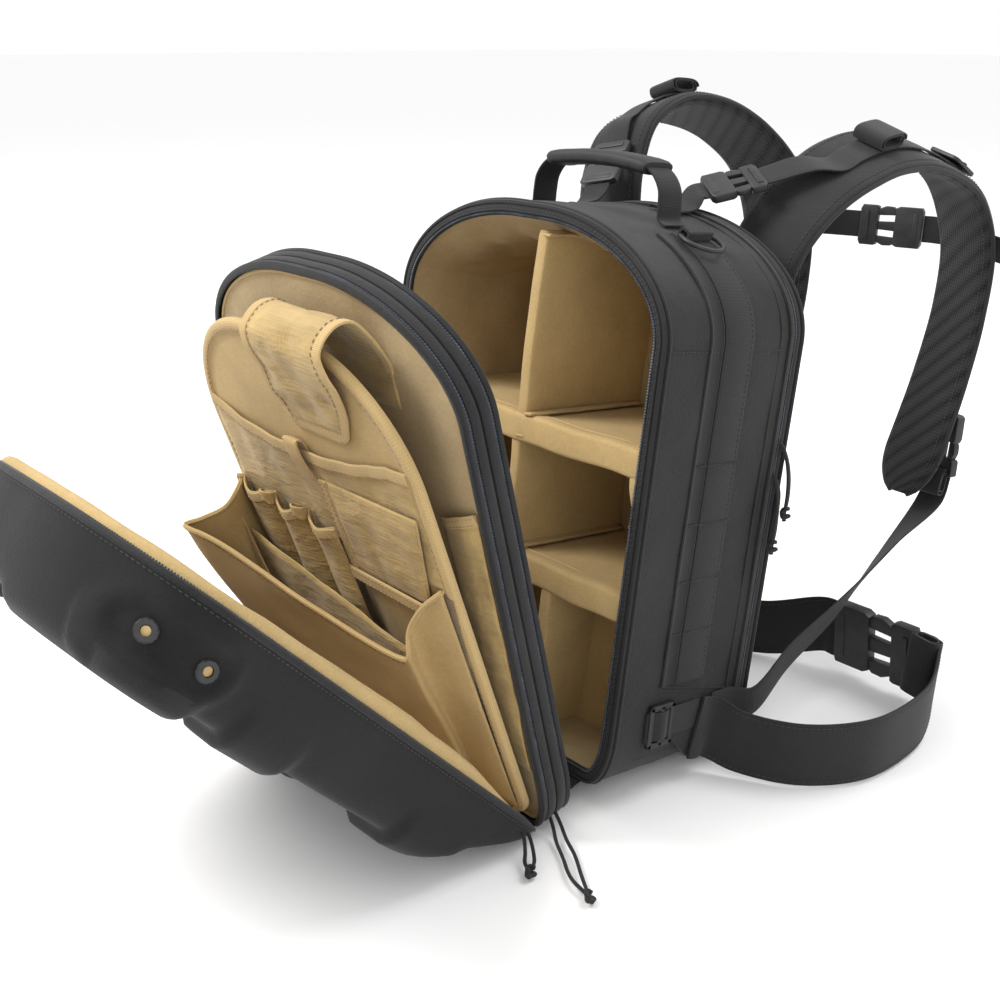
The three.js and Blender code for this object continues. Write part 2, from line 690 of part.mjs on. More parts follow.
// Closure flap: from the flap panel up over the top of the board and down its front
const boardTop = board.lift + board.height;
const closureOut = closure.cloth / 2 + gap;
const closureRoute = new THREE.CatmullRomCurve3([
  flapPlace(0, boardTop - closure.tail * 0.8, flapBack + flap.panelFront + closureOut),
  flapPlace(0, boardTop - closure.tail * 0.3, flapBack + flap.panelFront + closureOut + 2),
  boardPlace(0, boardTop + 10, -14),
  boardPlace(0, boardTop + 14, 0),
  boardPlace(0, boardTop + 4, boardFace + 10),
  boardPlace(0, boardTop - closure.tail * 0.35, boardFace + 8),
  boardPlace(0, boardTop - closure.tail * 0.7, boardFace + 4),
  boardPlace(0, boardTop - closure.tail, boardFace + closureOut + gap),
], false, 'centripetal');
add('closure_flap', sheet((u, v) => {
  const taper = v > 0.85 ? Math.sqrt(1 - ((v - 0.85) / 0.18) ** 2) : 1;
  return closureRoute.getPoint(v).setX(closure.middle + (u - 0.5) * closure.width * taper);
}, closure.cloth, 3, 20), 'ripstop');

// Hard shell

const shellSteps = 8;
// Side section of the shell: share of the edge inset and share of the depth.
const shellSection = [[0, 0], [0.08, 0.3], [0.2, 0.62], [0.45, 0.86], [1, 1]];
// Moulded pads: place across and along as shares of half width and height, and half sizes in the same shares.
const shellPads = [
  [0.42, 0.925, 0.3, 0.05],
  [0.7, 0.84, 0.24, 0.07],
  [0.76, 0.645, 0.2, 0.07],
  [0.74, 0.24, 0.22, 0.085],
  [0, 0.5, 0.28, 0.2],
];

function shellDepthAt(x, s, inset) {
  const share = Math.min(inset / shell.edge, 1);
  const k = Math.min(shellSection.findIndex(([edge], i) => i > 0 && share <= edge), shellSection.length - 1);
  const [edge0, depth0] = shellSection[k - 1];
  const [edge1, depth1] = shellSection[k];
  const side = shell.depth * mix(depth0, depth1, (share - edge0) / (edge1 - edge0));
  const ramp = (shell.depth * Math.max(s, 0)) / shell.ramp;
  let pad = 0;
  for (const [across, along, halfAcross, halfAlong] of shellPads) {
    const dx = (Math.abs(x) / (body.width / 2) - across) / halfAcross;
    const ds = (s / body.height - along) / halfAlong;
    pad = Math.max(pad, Math.max(0, 1 - dx ** 4) * Math.max(0, 1 - ds ** 4));
  }
  return Math.min(side, ramp) + shell.pad * pad * share;
}

function shellRing(inset, thickness) {
  const outer = outline(body, inset, shellSteps);
  const inner = outline(body, inset + thickness, shellSteps);
  return outer.map(([x, s], i) => {
    const depth = shellDepthAt(x, s, inset) - thickness;
    return shellPlace(inner[i][0], inner[i][1], Math.max(depth, 0));
  });
}

const outerInsets = [0, 2, 5, 11, 18, 26, 40, 58, 80, 104];
const innerInsets = [0, 2, 5, 11, 26, 40, 58, 80, 104];
const shellCup = ringSolid([
  ...outerInsets.slice().reverse().map((inset) => shellRing(inset, 0)),
  ...innerInsets.map((inset) => shellRing(inset, shell.wall)),
], false);

// Eyelets in a shallow recess, on both side walls near the top corners
function wallFrame(sign, along) {
  const half = halfOutline(body, 0, shellSteps);
  const i = half.findIndex(([, z], k) => k > 0 && z >= along);
  const [x0, z0] = half[i - 1];
  const [x1, z1] = half[i];
  const share = (along - z0) / (z1 - z0);
  const depth = shell.depth * 0.55;
  const edge = shell.edge * 0.16;
  const scale = (body.width / 2 - edge) / (body.width / 2);
  const origin = shellPlace(sign * (x0 + (x1 - x0) * share) * scale, along, depth);
  const up = shellPlace(sign * (x1 - x0), z1 - z0, 0).sub(shellPlace(0, 0, 0)).normalize();
  const out = shellPlace(sign * (z1 - z0), -(x1 - x0), 0).sub(shellPlace(0, 0, 0)).normalize();
  return frameAt(origin, up, out);
}

const eyeletPlaces = [];
for (const [side, sign] of [['right', 1], ['left', -1]]) {
  for (const [level, shift] of [['lower', -0.5], ['upper', 0.5]]) {
    eyeletPlaces.push([`eyelet_${side}_${level}`, wallFrame(sign, eyelet.along + shift * eyelet.spacing)]);
  }
}
const boreTool = new THREE.CylinderGeometry(eyelet.barrel + gap, eyelet.barrel + gap, shell.wall * 8, 12)
  .rotateX(90 * degree);
const recessTool = new THREE.CylinderGeometry(eyelet.flange + 2, eyelet.flange + 2, shell.wall * 2, 16)
  .rotateX(90 * degree).translate(0, 0, shell.wall - eyelet.recess);
add('hard_shell', cut(shellCup, eyeletPlaces.flatMap(([, frame]) => [
  boreTool.clone().applyMatrix4(frame), recessTool.clone().applyMatrix4(frame),
])), 'felt');
const eyeletLow = -eyelet.recess - shell.wall * 0.5;
const eyeletProfile = [
  [eyelet.bore, eyeletLow],
  [eyelet.barrel, eyeletLow],
  [eyelet.barrel, -eyelet.recess + gap],
  [eyelet.flange, -eyelet.recess + gap],
  [eyelet.flange - 1, -eyelet.recess + eyelet.lift],
  [eyelet.bore, -eyelet.recess + eyelet.lift],
  [eyelet.bore, eyeletLow],
].map(([r, z]) => new THREE.Vector2(r, z));
for (const [name, frame] of eyeletPlaces) {
  add(name, closedCopy(new THREE.LatheGeometry(eyeletProfile, 12).rotateX(90 * degree).applyMatrix4(frame)), 'plastic');
}

// The zip band of the shell is thin at the hinge and full height along the sides
function shellBandRing(inset, share) {
  return outline(body, inset, shellSteps).map(([x, s]) => {
    const height = mix(0.6, zipBand.thickness, Math.min(1, Math.max(0, (s - 8) / 30)));
    return shellPlace(x, s, -gap - height * share);
  });
}
add('shell_zip_band', ringSolid([
  shellBandRing(0.5, 0),
  shellBandRing(0, 0.5),
  shellBandRing(1.5, 1),
  shellBandRing(shell.wall + 0.6, 1),
  shellBandRing(shell.wall + 0.6, 0),
], true), 'nylon');

// Tan lining of the shell, with a rolled lip that stands above the rim away from the hinge
const lipIn = shell.wall + shell.liningGap;
function lipRing(inset, share) {
  return outline(body, lipIn + inset, shellSteps).map(([x, s]) => {
    const height = shell.lipHeight * Math.min(1, Math.max(0.08, (s - 20) / 90));
    return shellPlace(x, s, -height * share);
  });
}
add('shell_lining', ringSolid([
  ...innerInsets.slice(2).reverse().map((inset) => shellRing(inset, lipIn + shell.lining)),
  lipRing(shell.lipWidth, 0.55),
  lipRing(shell.lipWidth * 0.75, 1),
  lipRing(shell.lipWidth * 0.3, 1),
  lipRing(0, 0.6),
  ...innerInsets.map((inset) => shellRing(inset, lipIn)),
], false), 'tan');

add('shell_hinge', hingeSheet([
  flapPlace(0, under, flapFront - 14),
  flapPlace(0, under, flapFront - 4),
  flapPlace(0, under, flapFront),
  shellPlace(0, under, 1),
]), 'nylon');

// Harness

// Shoulder strap routes. Columns: across as a share of the spread, reach behind the back panel as a share of the
// reach, height as a share of the body height, and the roll and turn of the strap in degrees.
const rightRoute = [
  [0.84, 0.0, 0.81, 0, 0],
  [0.86, 0.012, 0.91, 0, 0],
  [0.93, 0.1, 1.02, 12, 0],
  [1.0, 0.25, 1.1, 20, 0],
  [1.0, 0.45, 1.137, 20, 0],
  [1.0, 0.65, 1.123, 16, 8],
  [1.0, 0.83, 1.066, 8, 16],
  [1.0, 0.94, 0.955, 0, 20],
  [0.99, 0.957, 0.814, 0, 20],
  [0.97, 0.927, 0.672, 0, 18],
  [0.95, 0.877, 0.542, 0, 16],
  [0.93, 0.817, 0.41, 0, 14],
];
const leftRoute = [
  [0.9, 0.0, 0.81, 0, 0],
  [0.94, 0.01, 0.93, 0, 0],
  [1.02, 0.03, 1.05, 8, 0],
  [1.06, 0.09, 1.14, 14, 0],
  [1.07, 0.22, 1.187, 18, 0],
  [1.07, 0.4, 1.187, 18, 0],
  [1.07, 0.58, 1.15, 14, 6],
  [1.05, 0.74, 1.075, 8, 12],
  [1.0, 0.82, 0.955, 0, 14],
  [0.95, 0.82, 0.82, 0, 14],
  [0.92, 0.79, 0.68, 0, 12],
  [0.9, 0.75, 0.55, 0, 12],
  [0.88, 0.71, 0.42, 0, 10],
];

function strapRows(route, sign) {
  const start = panelFace + gap + strap.thickness / 2;
  return route.map(([across, reach, height, roll, turn]) => ({
    point: vector(sign * across * strap.spread, start + reach * strap.reach, height * body.height),
    side: vector(Math.cos(roll * degree) * Math.cos(turn * degree), -sign * Math.sin(turn * degree),
      -sign * Math.sin(roll * degree)),
  }));
}

const strapWidthAt = (t) => strap.width * (t > 0.93 ? Math.sqrt(Math.max(0.1, 1 - ((t - 0.93) / 0.074) ** 2)) : 1);

// Side-release buckle of a given size, flat in its own x-y plane with its length along x.
function buckleGeometry(size) {
  const shape = new THREE.Shape();
  const x = size.length / 2;
  const y = size.width / 2;
  const half = [
    [-x, -y * 0.86], [-x * 0.96, -y], [-x * 0.42, -y], [-x * 0.2, -y * 0.78], [x * 0.08, -y * 0.7],
    [x * 0.3, -y * 0.82], [x * 0.5, -y], [x * 0.96, -y], [x, -y * 0.86],
  ];
  half.forEach(([px, py], i) => shape[i ? 'lineTo' : 'moveTo'](px, py));
  half.slice().reverse().forEach(([px, py]) => shape.lineTo(px, -py));
  shape.closePath();
  return plate(shape, size.thickness);
}

function addBuckle(name, from, to, face, size) {
  const centre = from.clone().add(to).multiplyScalar(0.5);
  add(name, buckleGeometry(size).applyMatrix4(frameAt(centre, to.clone().sub(from), face)), 'plastic');
}

const strapStations = 30;
const ends = {};
for (const [side, sign, route] of [['right', 1, rightRoute], ['left', -1, leftRoute]]) {
  const anchor = lifter[side];
  const frames = ribbonFrames(strapRows(route, sign), strapStations);
  add(`shoulder_strap_${side}`, ringSolid(frames.map((f) => paddedSection(f, strapWidthAt(f.t), strap.thickness)),
    false), 'mesh');
  const frameNear = (t) => frames[Math.round(t * strapStations)];
  const ride = strap.thickness / 2 + gap * 4 + webbing.thickness / 2;
  const mixPoints = (a, b, share) => a.clone().lerp(b, share);

  // Load lifter: anchor on the body top, buckle, then the webbing that lies along the strap
  const slope = Math.atan2(surfaceZ(anchor.across - 10) - surfaceZ(anchor.across + 10), 20);
  const level = vector(Math.cos(slope), 0, -sign * Math.sin(slope));
  const rest = surfaceZ(anchor.across) + gap + webbing.thickness;
  const anchorAt = (along, lift) => vector(sign * anchor.across, body.depth * along, rest + lift);
  const foot = anchorAt(0.93, 13);
  const landing = offsetFrom(frameNear(anchor.meet), 0, ride + 3);
  const climb = landing.clone().sub(foot).normalize();
  const low = foot.clone().addScaledVector(climb, 8);
  const high = low.clone().addScaledVector(climb, lifterBuckle.length);
  const face = vector(0, -1, 1);
  addBuckle(`lifter_buckle_${side}`, low, high, face, lifterBuckle);
  const across = new THREE.Vector3().crossVectors(climb, face).normalize();
  across.multiplyScalar(Math.sign(across.x));
  add(`lifter_anchor_${side}`, ribbon([
    { point: anchorAt(0.68, 0), side: level },
    { point: anchorAt(0.78, 0), side: level },
    { point: anchorAt(0.87, 4), side: level.clone().add(across).normalize() },
    { point: foot, side: across },
    { point: low.clone().addScaledVector(climb, -0.6), side: across },
  ], webbing.width, webbing.thickness, 10), 'webbing');

  const lying = frames.filter((f) => f.t > anchor.meet && f.t < 0.62);
  const lead = ribbonFrames([
    { point: high.clone().addScaledVector(climb, 0.6), side: across },
    { point: mixPoints(high, offsetFrom(lying[0], 0, ride + 8), 0.6), side: across.clone().lerp(lying[0].side, 0.7) },
    { point: offsetFrom(lying[0], 0, ride), side: lying[0].side },
  ], 4).slice(0, -1);
  const lyingSections = lying.map((f) => flatSection({ ...f, point: offsetFrom(f, 0, ride) },
    webbing.width, webbing.thickness));
  const roll = frameNear(anchor.fold);
  const rollRound = foldRoll.height / 2 - 0.5;
  const rollShape = rounded(foldRoll.length, foldRoll.height, rollRound);
  rollShape.holes.push(rounded(foldRoll.length - foldRoll.wall * 2, foldRoll.height - foldRoll.wall * 2,
    rollRound - foldRoll.wall, THREE.Path));
  const rollFrame = frameAt(offsetFrom(roll, 0, ride + foldRoll.height / 2 - gap), roll.tangent, roll.normal);
  const clipRest = frameNear(anchor.fold + 0.16);
  const clipFrame = frameAt(offsetFrom(clipRest, 0, ride + clip.thickness), clipRest.tangent, clipRest.normal);
  add(`strap_webbing_${side}`, joined([
    ringSolid([...lead.map((f) => flatSection(f, webbing.width, webbing.thickness)), ...lyingSections], false),
    plate(rollShape, foldRoll.width).rotateX(90 * degree).applyMatrix4(rollFrame),
    plate(rounded(clip.length, clip.width, clip.corner), clip.thickness).rotateY(clip.lean * degree)
      .applyMatrix4(clipFrame),
  ]), 'webbing');

  ends[side] = { chest: frameNear(sternumAt[side]), ride, frameNear };
}

const chestRight = ends.right.chest;
const chestLeft = ends.left.chest;
const chestStart = offsetFrom(chestRight, -strap.width / 2 - 8, ends.right.ride);
const chestEnd = offsetFrom(chestLeft, strap.width / 2 + 8, ends.left.ride);
const chestSpan = chestEnd.clone().sub(chestStart);
const chestMiddle = chestStart.clone().addScaledVector(chestSpan, 0.42);
const chestHalf = chestSpan.clone().normalize().multiplyScalar(buckle.length / 2);
const chestUp = vector(0, 0, 1);
addBuckle('sternum_buckle', chestMiddle.clone().sub(chestHalf), chestMiddle.clone().add(chestHalf), vector(0, 1, 0),
  buckle);
const chestGap = chestSpan.clone().normalize().multiplyScalar(0.6);
for (const [side, sign, chest, near] of [
  ['right', 1, chestRight, chestMiddle.clone().sub(chestHalf).sub(chestGap)],
  ['left', -1, chestLeft, chestMiddle.clone().add(chestHalf).add(chestGap)],
]) {
  const tail = side === 'right' ? 18 : 2;
  const overStrap = strap.thickness / 2 + gap * 2 + webbing.thickness / 2;
  const onStrap = chest.tangent.clone().negate();
  add(`sternum_webbing_${side}`, ribbon([
    { point: offsetFrom(chest, sign * (strap.width / 2 + tail), overStrap), side: onStrap },
    { point: offsetFrom(chest, 0, overStrap), side: onStrap },
    { point: offsetFrom(chest, -sign * strap.width * 0.5, overStrap), side: onStrap },
    { point: near.clone().addScaledVector(chestSpan, side === 'right' ? -0.08 : 0.08), side: chestUp },
    { point: near, side: chestUp },
  ], webbing.width, webbing.thickness, 16), 'webbing');
}

// Lower buckles hang on the outside of each strap, and the webbing runs on to the body's lower corner
for (const [side, sign] of [['right', 1], ['left', -1]]) {
  const hang = ends[side].frameNear(0.86);
  const out = strap.thickness / 2 + gap + buckle.thickness / 2;
  const top = offsetFrom(hang, sign * 14, out);
  const end = top.clone().add(vector(0, 2, -buckle.length));
  addBuckle(`lower_buckle_${side}`, top, end, hang.normal, buckle);
  const start = end.clone().add(vector(0, 0, -0.8));
  const finishZ = lowerWebbing[side];
  const cornerX = halfWidthAt(body, -gap, finishZ + webbing.width / 2) + webbing.thickness;
  const finish = vector(sign * cornerX, body.depth * 0.83, finishZ);
  const span = finish.clone().sub(start);
  add(`lower_webbing_${side}`, ribbon([
    { point: start, side: vector(1, 0, 0) },
    { point: start.clone().add(vector(0, -8, -22)), side: vector(1, 0.2, 0) },
    { point: start.clone().addScaledVector(span, 0.25).add(vector(0, 0, -22)), side: vector(0.6, 0.4, sign * 0.8) },
    { point: start.clone().addScaledVector(span, 0.5).add(vector(0, 0, -28)), side: vector(0.2, 0.3, sign) },
    { point: start.clone().addScaledVector(span, 0.75).add(vector(sign * 4, 0, -16)), side: vector(0.1, 0, sign) },
    { point: finish.clone().add(vector(sign * 4, 26, -4)), side: vector(0, 0, sign) },
    { point: finish, side: vector(0, 0, sign) },
    { point: finish.clone().add(vector(0, -22, 0)), side: vector(0, 0, sign) },
  ], webbing.width, webbing.thickness, 28), 'webbing');
}

// How far the pack leans back: it stands on the piping of its rear edge and on the hinge of the shell
const frontFoot = shellPlace(0, under - hingeCloth / 2, 1);
const rearFoot = vector(0, rearEdge, -gap - rearBand.thickness);
const lean = Math.atan2(rearFoot.z - frontFoot.z, rearFoot.y - frontFoot.y);
const ground = (y) => rearFoot.z + (y - rearFoot.y) * Math.tan(lean);

// Waist belt, standing on edge behind the pack.
// Columns: across as a share of half the body width, distance behind the opening as a share of the body depth,
// and the lift of the lower edge above the ground as a share of the belt width.
const rightBeltRoute = [
  [0.975, 0.57, 0.3],
  [0.985, 0.68, 0.2],
  [1.12, 0.76, 0.05],
  [1.39, 0.92, 0],
  [1.58, 1.21, 0],
  [1.6, 1.56, 0],
  [1.54, 1.85, 0.05],
  [1.41, 2.11, 0.26],
  [1.28, 2.15, 0.26],
];
const leftBeltRoute = [
  [-0.975, 0.57, 0.3],
  [-0.985, 0.72, 0.2],
  [-1.03, 0.97, 0.05],
  [-0.95, 1.14, 0],
  [-0.64, 1.4, 0],
  [-0.25, 1.74, 0],
  [0.27, 2.0, 0],
  [0.54, 2.11, 0.26],
  [0.67, 2.15, 0.26],
];
function beltRows(route) {
  return route.map(([across, along, lift]) => {
    const y = along * body.depth;
    const x = Math.max(Math.abs(across) * body.width * 0.5, y < body.depth ? beltClear : 0) * Math.sign(across);
    return {
      point: vector(x, y, ground(y) + belt.clear + belt.width * (0.5 + lift)),
      side: vector(0, 0, 1),
    };
  });
}
const beltClear = body.base / 2 + gap * 2 + belt.thickness / 2 + 2;
const beltRight = beltRows(rightBeltRoute);
const beltLeft = beltRows(leftBeltRoute);
const beltFrom = beltLeft[beltLeft.length - 1].point.clone();
const beltTo = beltRight[beltRight.length - 1].point.clone();
const beltAlong = beltTo.clone().sub(beltFrom).normalize();
const beltMiddle = beltFrom.clone().add(beltTo).multiplyScalar(0.5);
for (const [rows, sign] of [[beltRight, 1], [beltLeft, -1]]) {
  const reach = beltBuckle.length / 2 + gap;
  [14, 0].forEach((extra, i) => rows[rows.length - 2 + i].point.copy(beltMiddle)
    .addScaledVector(beltAlong, sign * (reach + extra)));
}
add('waist_belt_right', ribbon(beltRight, belt.width, belt.thickness, 28), 'webbing');
add('waist_belt_left', ribbon(beltLeft, belt.width, belt.thickness, 28), 'webbing');
add('belt_buckle', buckleGeometry(beltBuckle)
  .applyMatrix4(frameAt(beltMiddle, beltAlong, vector(0, 1, 0.2))), 'plastic');

// Zip pulls: each is a doubled cord with a knot at its end
function cordTube(points) {
  const curve = new THREE.CatmullRomCurve3(points);
  const section = new THREE.Shape();
  for (let i = 0; i < 8; i++) {
    const turn = (i * 45 + 22.5) * degree;
    section[i ? 'lineTo' : 'moveTo']((pull.diameter / 2) * Math.cos(turn), (pull.diameter / 2) * Math.sin(turn));
  }
  section.closePath();
  const count = Math.ceil(curve.getLength() / (pull.diameter * 2.5));
  return closedCopy(new THREE.ExtrudeGeometry(section, { steps: count, bevelEnabled: false, extrudePath: curve }));
}

const pullRoutes = {
  pull_front_flap: [
    [[128.9, -43, -6.9], [138, -45, -12.2], [150, -50, -16.8], [168, -58, -18.8], [190, -72, -19.6], [210, -84, -20.4]],
    [[128.9, -48, -8.9], [137, -51, -14.4], [147, -57, -18.2], [164, -66, -19.8], [187, -79, -20.4],
      [210, -84, -20.4]],
  ],
  pull_front_shell: [
    [[138.6, -78, -8.8], [143, -79, -11.8], [150, -82, -16.8], [157, -87, -20.2], [163, -96, -21.6]],
    [[138.6, -83, -7], [143, -85, -10.6], [148, -88, -16.6], [154, -93, -20.6], [163, -96, -21.6]],
  ],
  pull_rear_upper: [
    [[151.2, 138, 262], [155, 140, 255], [158, 143, 240], [158, 146, 222], [157, 147, 206]],
    [[151.2, 142, 258], [154, 145, 249], [155, 149, 236], [156, 150, 220], [157, 147, 206]],
  ],
  pull_rear_lower: [
    [[150.2, 137, 236], [154, 137, 228], [157, 137, 212], [157, 137, 194], [156, 138, 180]],
    [[150.2, 141, 232], [153, 142, 222], [154, 142, 208], [155, 141, 192], [156, 138, 180]],
  ],
};
for (const [name, strands] of Object.entries(pullRoutes)) {
  const routes = strands.map((points) => points.map(([x, y, z]) => vector(x, y, z)));
  const knot = new THREE.IcosahedronGeometry(pull.knot / 2, 1).scale(0.9, 0.9, 1.1)
    .translate(...routes[0][routes[0].length - 1].toArray());
  add(name, joined([...routes.map(cordTube), closedCopy(knot)]), 'cord');
}

// Stand the pack on the ground, with the origin below the middle of its footprint
bag.rotation.x = -lean;
const pack = new THREE.Group();
pack.add(bag);
pack.updateMatrixWorld(true);
const solid = new THREE.Box3();
for (const mesh of bag.children) {
  if (!mesh.name.startsWith('pull_')) solid.union(new THREE.Box3().setFromObject(mesh, true));
}
const middle = solid.getCenter(vector(0, 0, 0));
bag.position.set(-middle.x, -middle.y, -solid.min.z);
pack.updateMatrixWorld(true);

export default pack;
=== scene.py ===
import math

import bmesh
import bpy
from mathutils import Matrix, Vector, noise


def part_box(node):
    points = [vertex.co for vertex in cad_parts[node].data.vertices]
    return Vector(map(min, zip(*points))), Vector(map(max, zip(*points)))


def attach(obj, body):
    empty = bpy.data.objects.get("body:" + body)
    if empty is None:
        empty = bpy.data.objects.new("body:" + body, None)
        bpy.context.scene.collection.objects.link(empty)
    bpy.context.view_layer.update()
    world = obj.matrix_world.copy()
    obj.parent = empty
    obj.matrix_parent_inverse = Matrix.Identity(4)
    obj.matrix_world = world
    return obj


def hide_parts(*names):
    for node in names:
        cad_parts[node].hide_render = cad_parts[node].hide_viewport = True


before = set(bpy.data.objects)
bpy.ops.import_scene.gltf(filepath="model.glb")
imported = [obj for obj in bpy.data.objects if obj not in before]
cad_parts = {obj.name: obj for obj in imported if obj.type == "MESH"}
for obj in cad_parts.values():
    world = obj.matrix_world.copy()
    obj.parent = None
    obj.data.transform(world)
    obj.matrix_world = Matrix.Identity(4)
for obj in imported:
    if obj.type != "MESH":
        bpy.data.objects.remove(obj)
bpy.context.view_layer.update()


def vec(*values):
    return Vector(values)


# Shapes are worked out in millimetres on the upright bag: x to the right, y back from the opening, z up.
# Function bag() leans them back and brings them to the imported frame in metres.
degree = math.pi / 180
gap = 0.3
body = {"width": 300, "base": 282, "height": 424, "depth": 151, "shoulderX": 136, "shoulderZ": 84,
        "heelX": 25, "heelZ": 50}
board = {"width": 258, "base": 258, "height": 378, "lift": 18, "shoulderX": 95, "shoulderZ": 95,
         "heelX": 20, "heelZ": 20, "lean": 24.6}
flap = {"lean": 20.3, "back": 30.8, "depth": 28, "wall": 5.5}
shell = {"lean": 50.1, "depth": 56, "edge": 26, "ramp": 95, "wall": 4, "pad": 9}
rearFoot = vec(0, 144, -2.3)


def panelFrame(lean, y, z):
    sine, cosine = math.sin(lean * degree), math.cos(lean * degree)
    return lambda x, s, w: vec(x, y - s * sine - w * cosine, z + s * cosine - w * sine)


def upright(x, s, w):
    return vec(x, -w, s)


def panelAxes(place):
    return [place(*unit) - place(0, 0, 0) for unit in ((1, 0, 0), (0, 1, 0), (0, 0, 1))]


flapPlace = panelFrame(flap["lean"], 0, 0)
boardFoot = flapPlace(0, 0, flap["back"] + flap["depth"])
boardPlace = panelFrame(board["lean"], boardFoot.y, boardFoot.z)
shellFoot = flapPlace(0, 0, flap["back"] + flap["depth"] + 1.4)
shellPlace = panelFrame(shell["lean"], shellFoot.y, shellFoot.z)
flapUp, flapOut = panelAxes(flapPlace)[1:]
boardAcross, boardUp, boardOut = panelAxes(boardPlace)
frontFoot = shellPlace(0, -1.3, 1)
lean = math.atan2(rearFoot.z - frontFoot.z, rearFoot.y - frontFoot.y)
sineLean, cosineLean = math.sin(lean), math.cos(lean)


def leaned(p):
    return vec(p[0], p[1] * cosineLean + p[2] * sineLean, p[2] * cosineLean - p[1] * sineLean)


sliderMiddle = sum((sum(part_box(f"side_slider_{side}"), Vector()) / 4 for side in ("right", "left")), Vector())
shift = sliderMiddle * 1000 - leaned((0, 46, 47))


def bag(p):
    return (leaned(p) + shift) / 1000


def ground(y):
    return rearFoot.z + (y - rearFoot.y) * math.tan(lean)


# Camera at the photo's place, then light and floor
scene = bpy.context.scene
scene.view_settings.view_transform = "Standard"


def addCamera():
    settings = {"target": (0, 0, 200), "distance": 1047.753, "right": (0.6475, 0.7575, 0.079),
                "up": (-0.252, 0.1153, 0.9608), "lens": 47.835, "shift": (-0.00815, -0.00795)}
    right = leaned(settings["right"]).normalized()
    up = leaned(settings["up"])
    back = right.cross(up).normalized()
    up = back.cross(right)
    data = bpy.data.cameras.new("camera")
    data.lens = settings["lens"]
    data.shift_x, data.shift_y = settings["shift"]
    camera = bpy.data.objects.new("camera", data)
    scene.collection.objects.link(camera)
    turn = Matrix((right, up, back)).transposed().to_4x4()
    place = bag(settings["target"]) + back * settings["distance"] / 1000
    camera.matrix_world = Matrix.Translation(place) @ turn
    scene.camera = camera


addCamera()


def addLight(name, place, size, power, colour):
    data = bpy.data.lights.new(name, "AREA")
    data.shape = "DISK"
    data.size = size
    data.energy = power
    data.color = colour
    light = bpy.data.objects.new(name, data)
    scene.collection.objects.link(light)
    light.location = place
    light.rotation_mode = "QUATERNION"
    light.rotation_quaternion = (-Vector(place)).to_track_quat("-Z", "Y")


addLight("key", (-1.2, -1.6, 2.4), 1.3, 80, (1, 0.985, 0.95))
addLight("fill", (2.4, -1.4, 1.3), 2.2, 9, (0.97, 0.98, 1))
addLight("rim", (0.5, 1.4, 2.6), 1.4, 26, (1, 1, 1))
world = bpy.data.worlds.new("studio")
world.use_nodes = True
world.node_tree.nodes["Background"].inputs["Color"].default_value = (1, 1, 1, 1)
world.node_tree.nodes["Background"].inputs["Strength"].default_value = 1.0
scene.world = world


# Materials: a Wire is a node's output that can be reckoned with
def feed(tree, slot, value):
    if isinstance(value, Wire):
        tree.links.new(value.socket, slot)
    else:
        slot.default_value = value


def maths(tree, operation, *values):
    node = tree.nodes.new("ShaderNodeMath")
    node.operation = operation
    for slot, value in zip(node.inputs, values):
        feed(tree, slot, value)
    return Wire(tree, node.outputs[0])


class Wire:
    def __init__(self, tree, socket):
        self.tree = tree
        self.socket = socket

    def reckon(self, operation, *values):
        return maths(self.tree, operation, self, *values)

    def __add__(self, other):
        return maths(self.tree, "ADD", self, other)

    def __radd__(self, other):
        return maths(self.tree, "ADD", other, self)

    def __mul__(self, other):
        return maths(self.tree, "MULTIPLY", self, other)

    def __pow__(self, other):
        return maths(self.tree, "POWER", self, other)


class Paint:
    def __init__(self, name, **constants):
        self.material = bpy.data.materials.new(name)
        self.material.use_nodes = True
        self.tree = self.material.node_tree
        self.shader = self.tree.nodes["Principled BSDF"]
        for key, value in constants.items():
            self.shader.inputs[key.replace("_", " ")].default_value = value

    def node(self, kind, settings, inputs, output=0):
        made = self.tree.nodes.new(kind)
        for key, value in settings.items():
            setattr(made, key, value)
        for key, value in inputs.items():
            feed(self.tree, made.inputs[key], value)
        return Wire(self.tree, made.outputs[output])

    def place(self):
        return self.node("ShaderNodeTexCoord", {}, {}, "Object")

    def woven(self):
        return self.node("ShaderNodeUVMap", {"uv_map": "along"}, {})

    def noise(self, vector, scale, detail=3, roughness=0.55, distortion=0):
        return self.node("ShaderNodeTexNoise", {}, {"Vector": vector, "Scale": scale, "Detail": detail,
                                                    "Roughness": roughness, "Distortion": distortion})

    def stretch(self, vector, factors, turn=(0, 0, 0)):
        return self.node("ShaderNodeMapping", {}, {"Vector": vector, "Scale": factors, "Rotation": turn})

    def parts(self, vector):
        node = self.tree.nodes.new("ShaderNodeSeparateXYZ")
        feed(self.tree, node.inputs[0], vector)
        return [Wire(self.tree, output) for output in node.outputs]

    def blend(self, share, low, high):
        low, high = ((*colour, 1) if isinstance(colour, tuple) else colour for colour in (low, high))
        return self.node("ShaderNodeMix", {"data_type": "RGBA"}, {0: share, 6: low, 7: high}, 2)

    def steps(self, value, low, high):
        return self.node("ShaderNodeMapRange", {"clamp": True}, {0: value, 1: low, 2: high, 3: 0, 4: 1})

    def bump(self, height, strength, distance):
        return self.node("ShaderNodeBump", {}, {"Height": height, "Strength": strength, "Distance": distance})

    def finish(self, colour, normal, roughness=None):
        feed(self.tree, self.shader.inputs["Base Color"], colour)
        feed(self.tree, self.shader.inputs["Normal"], normal)
        if roughness is not None:
            feed(self.tree, self.shader.inputs["Roughness"], roughness)
        return self.material


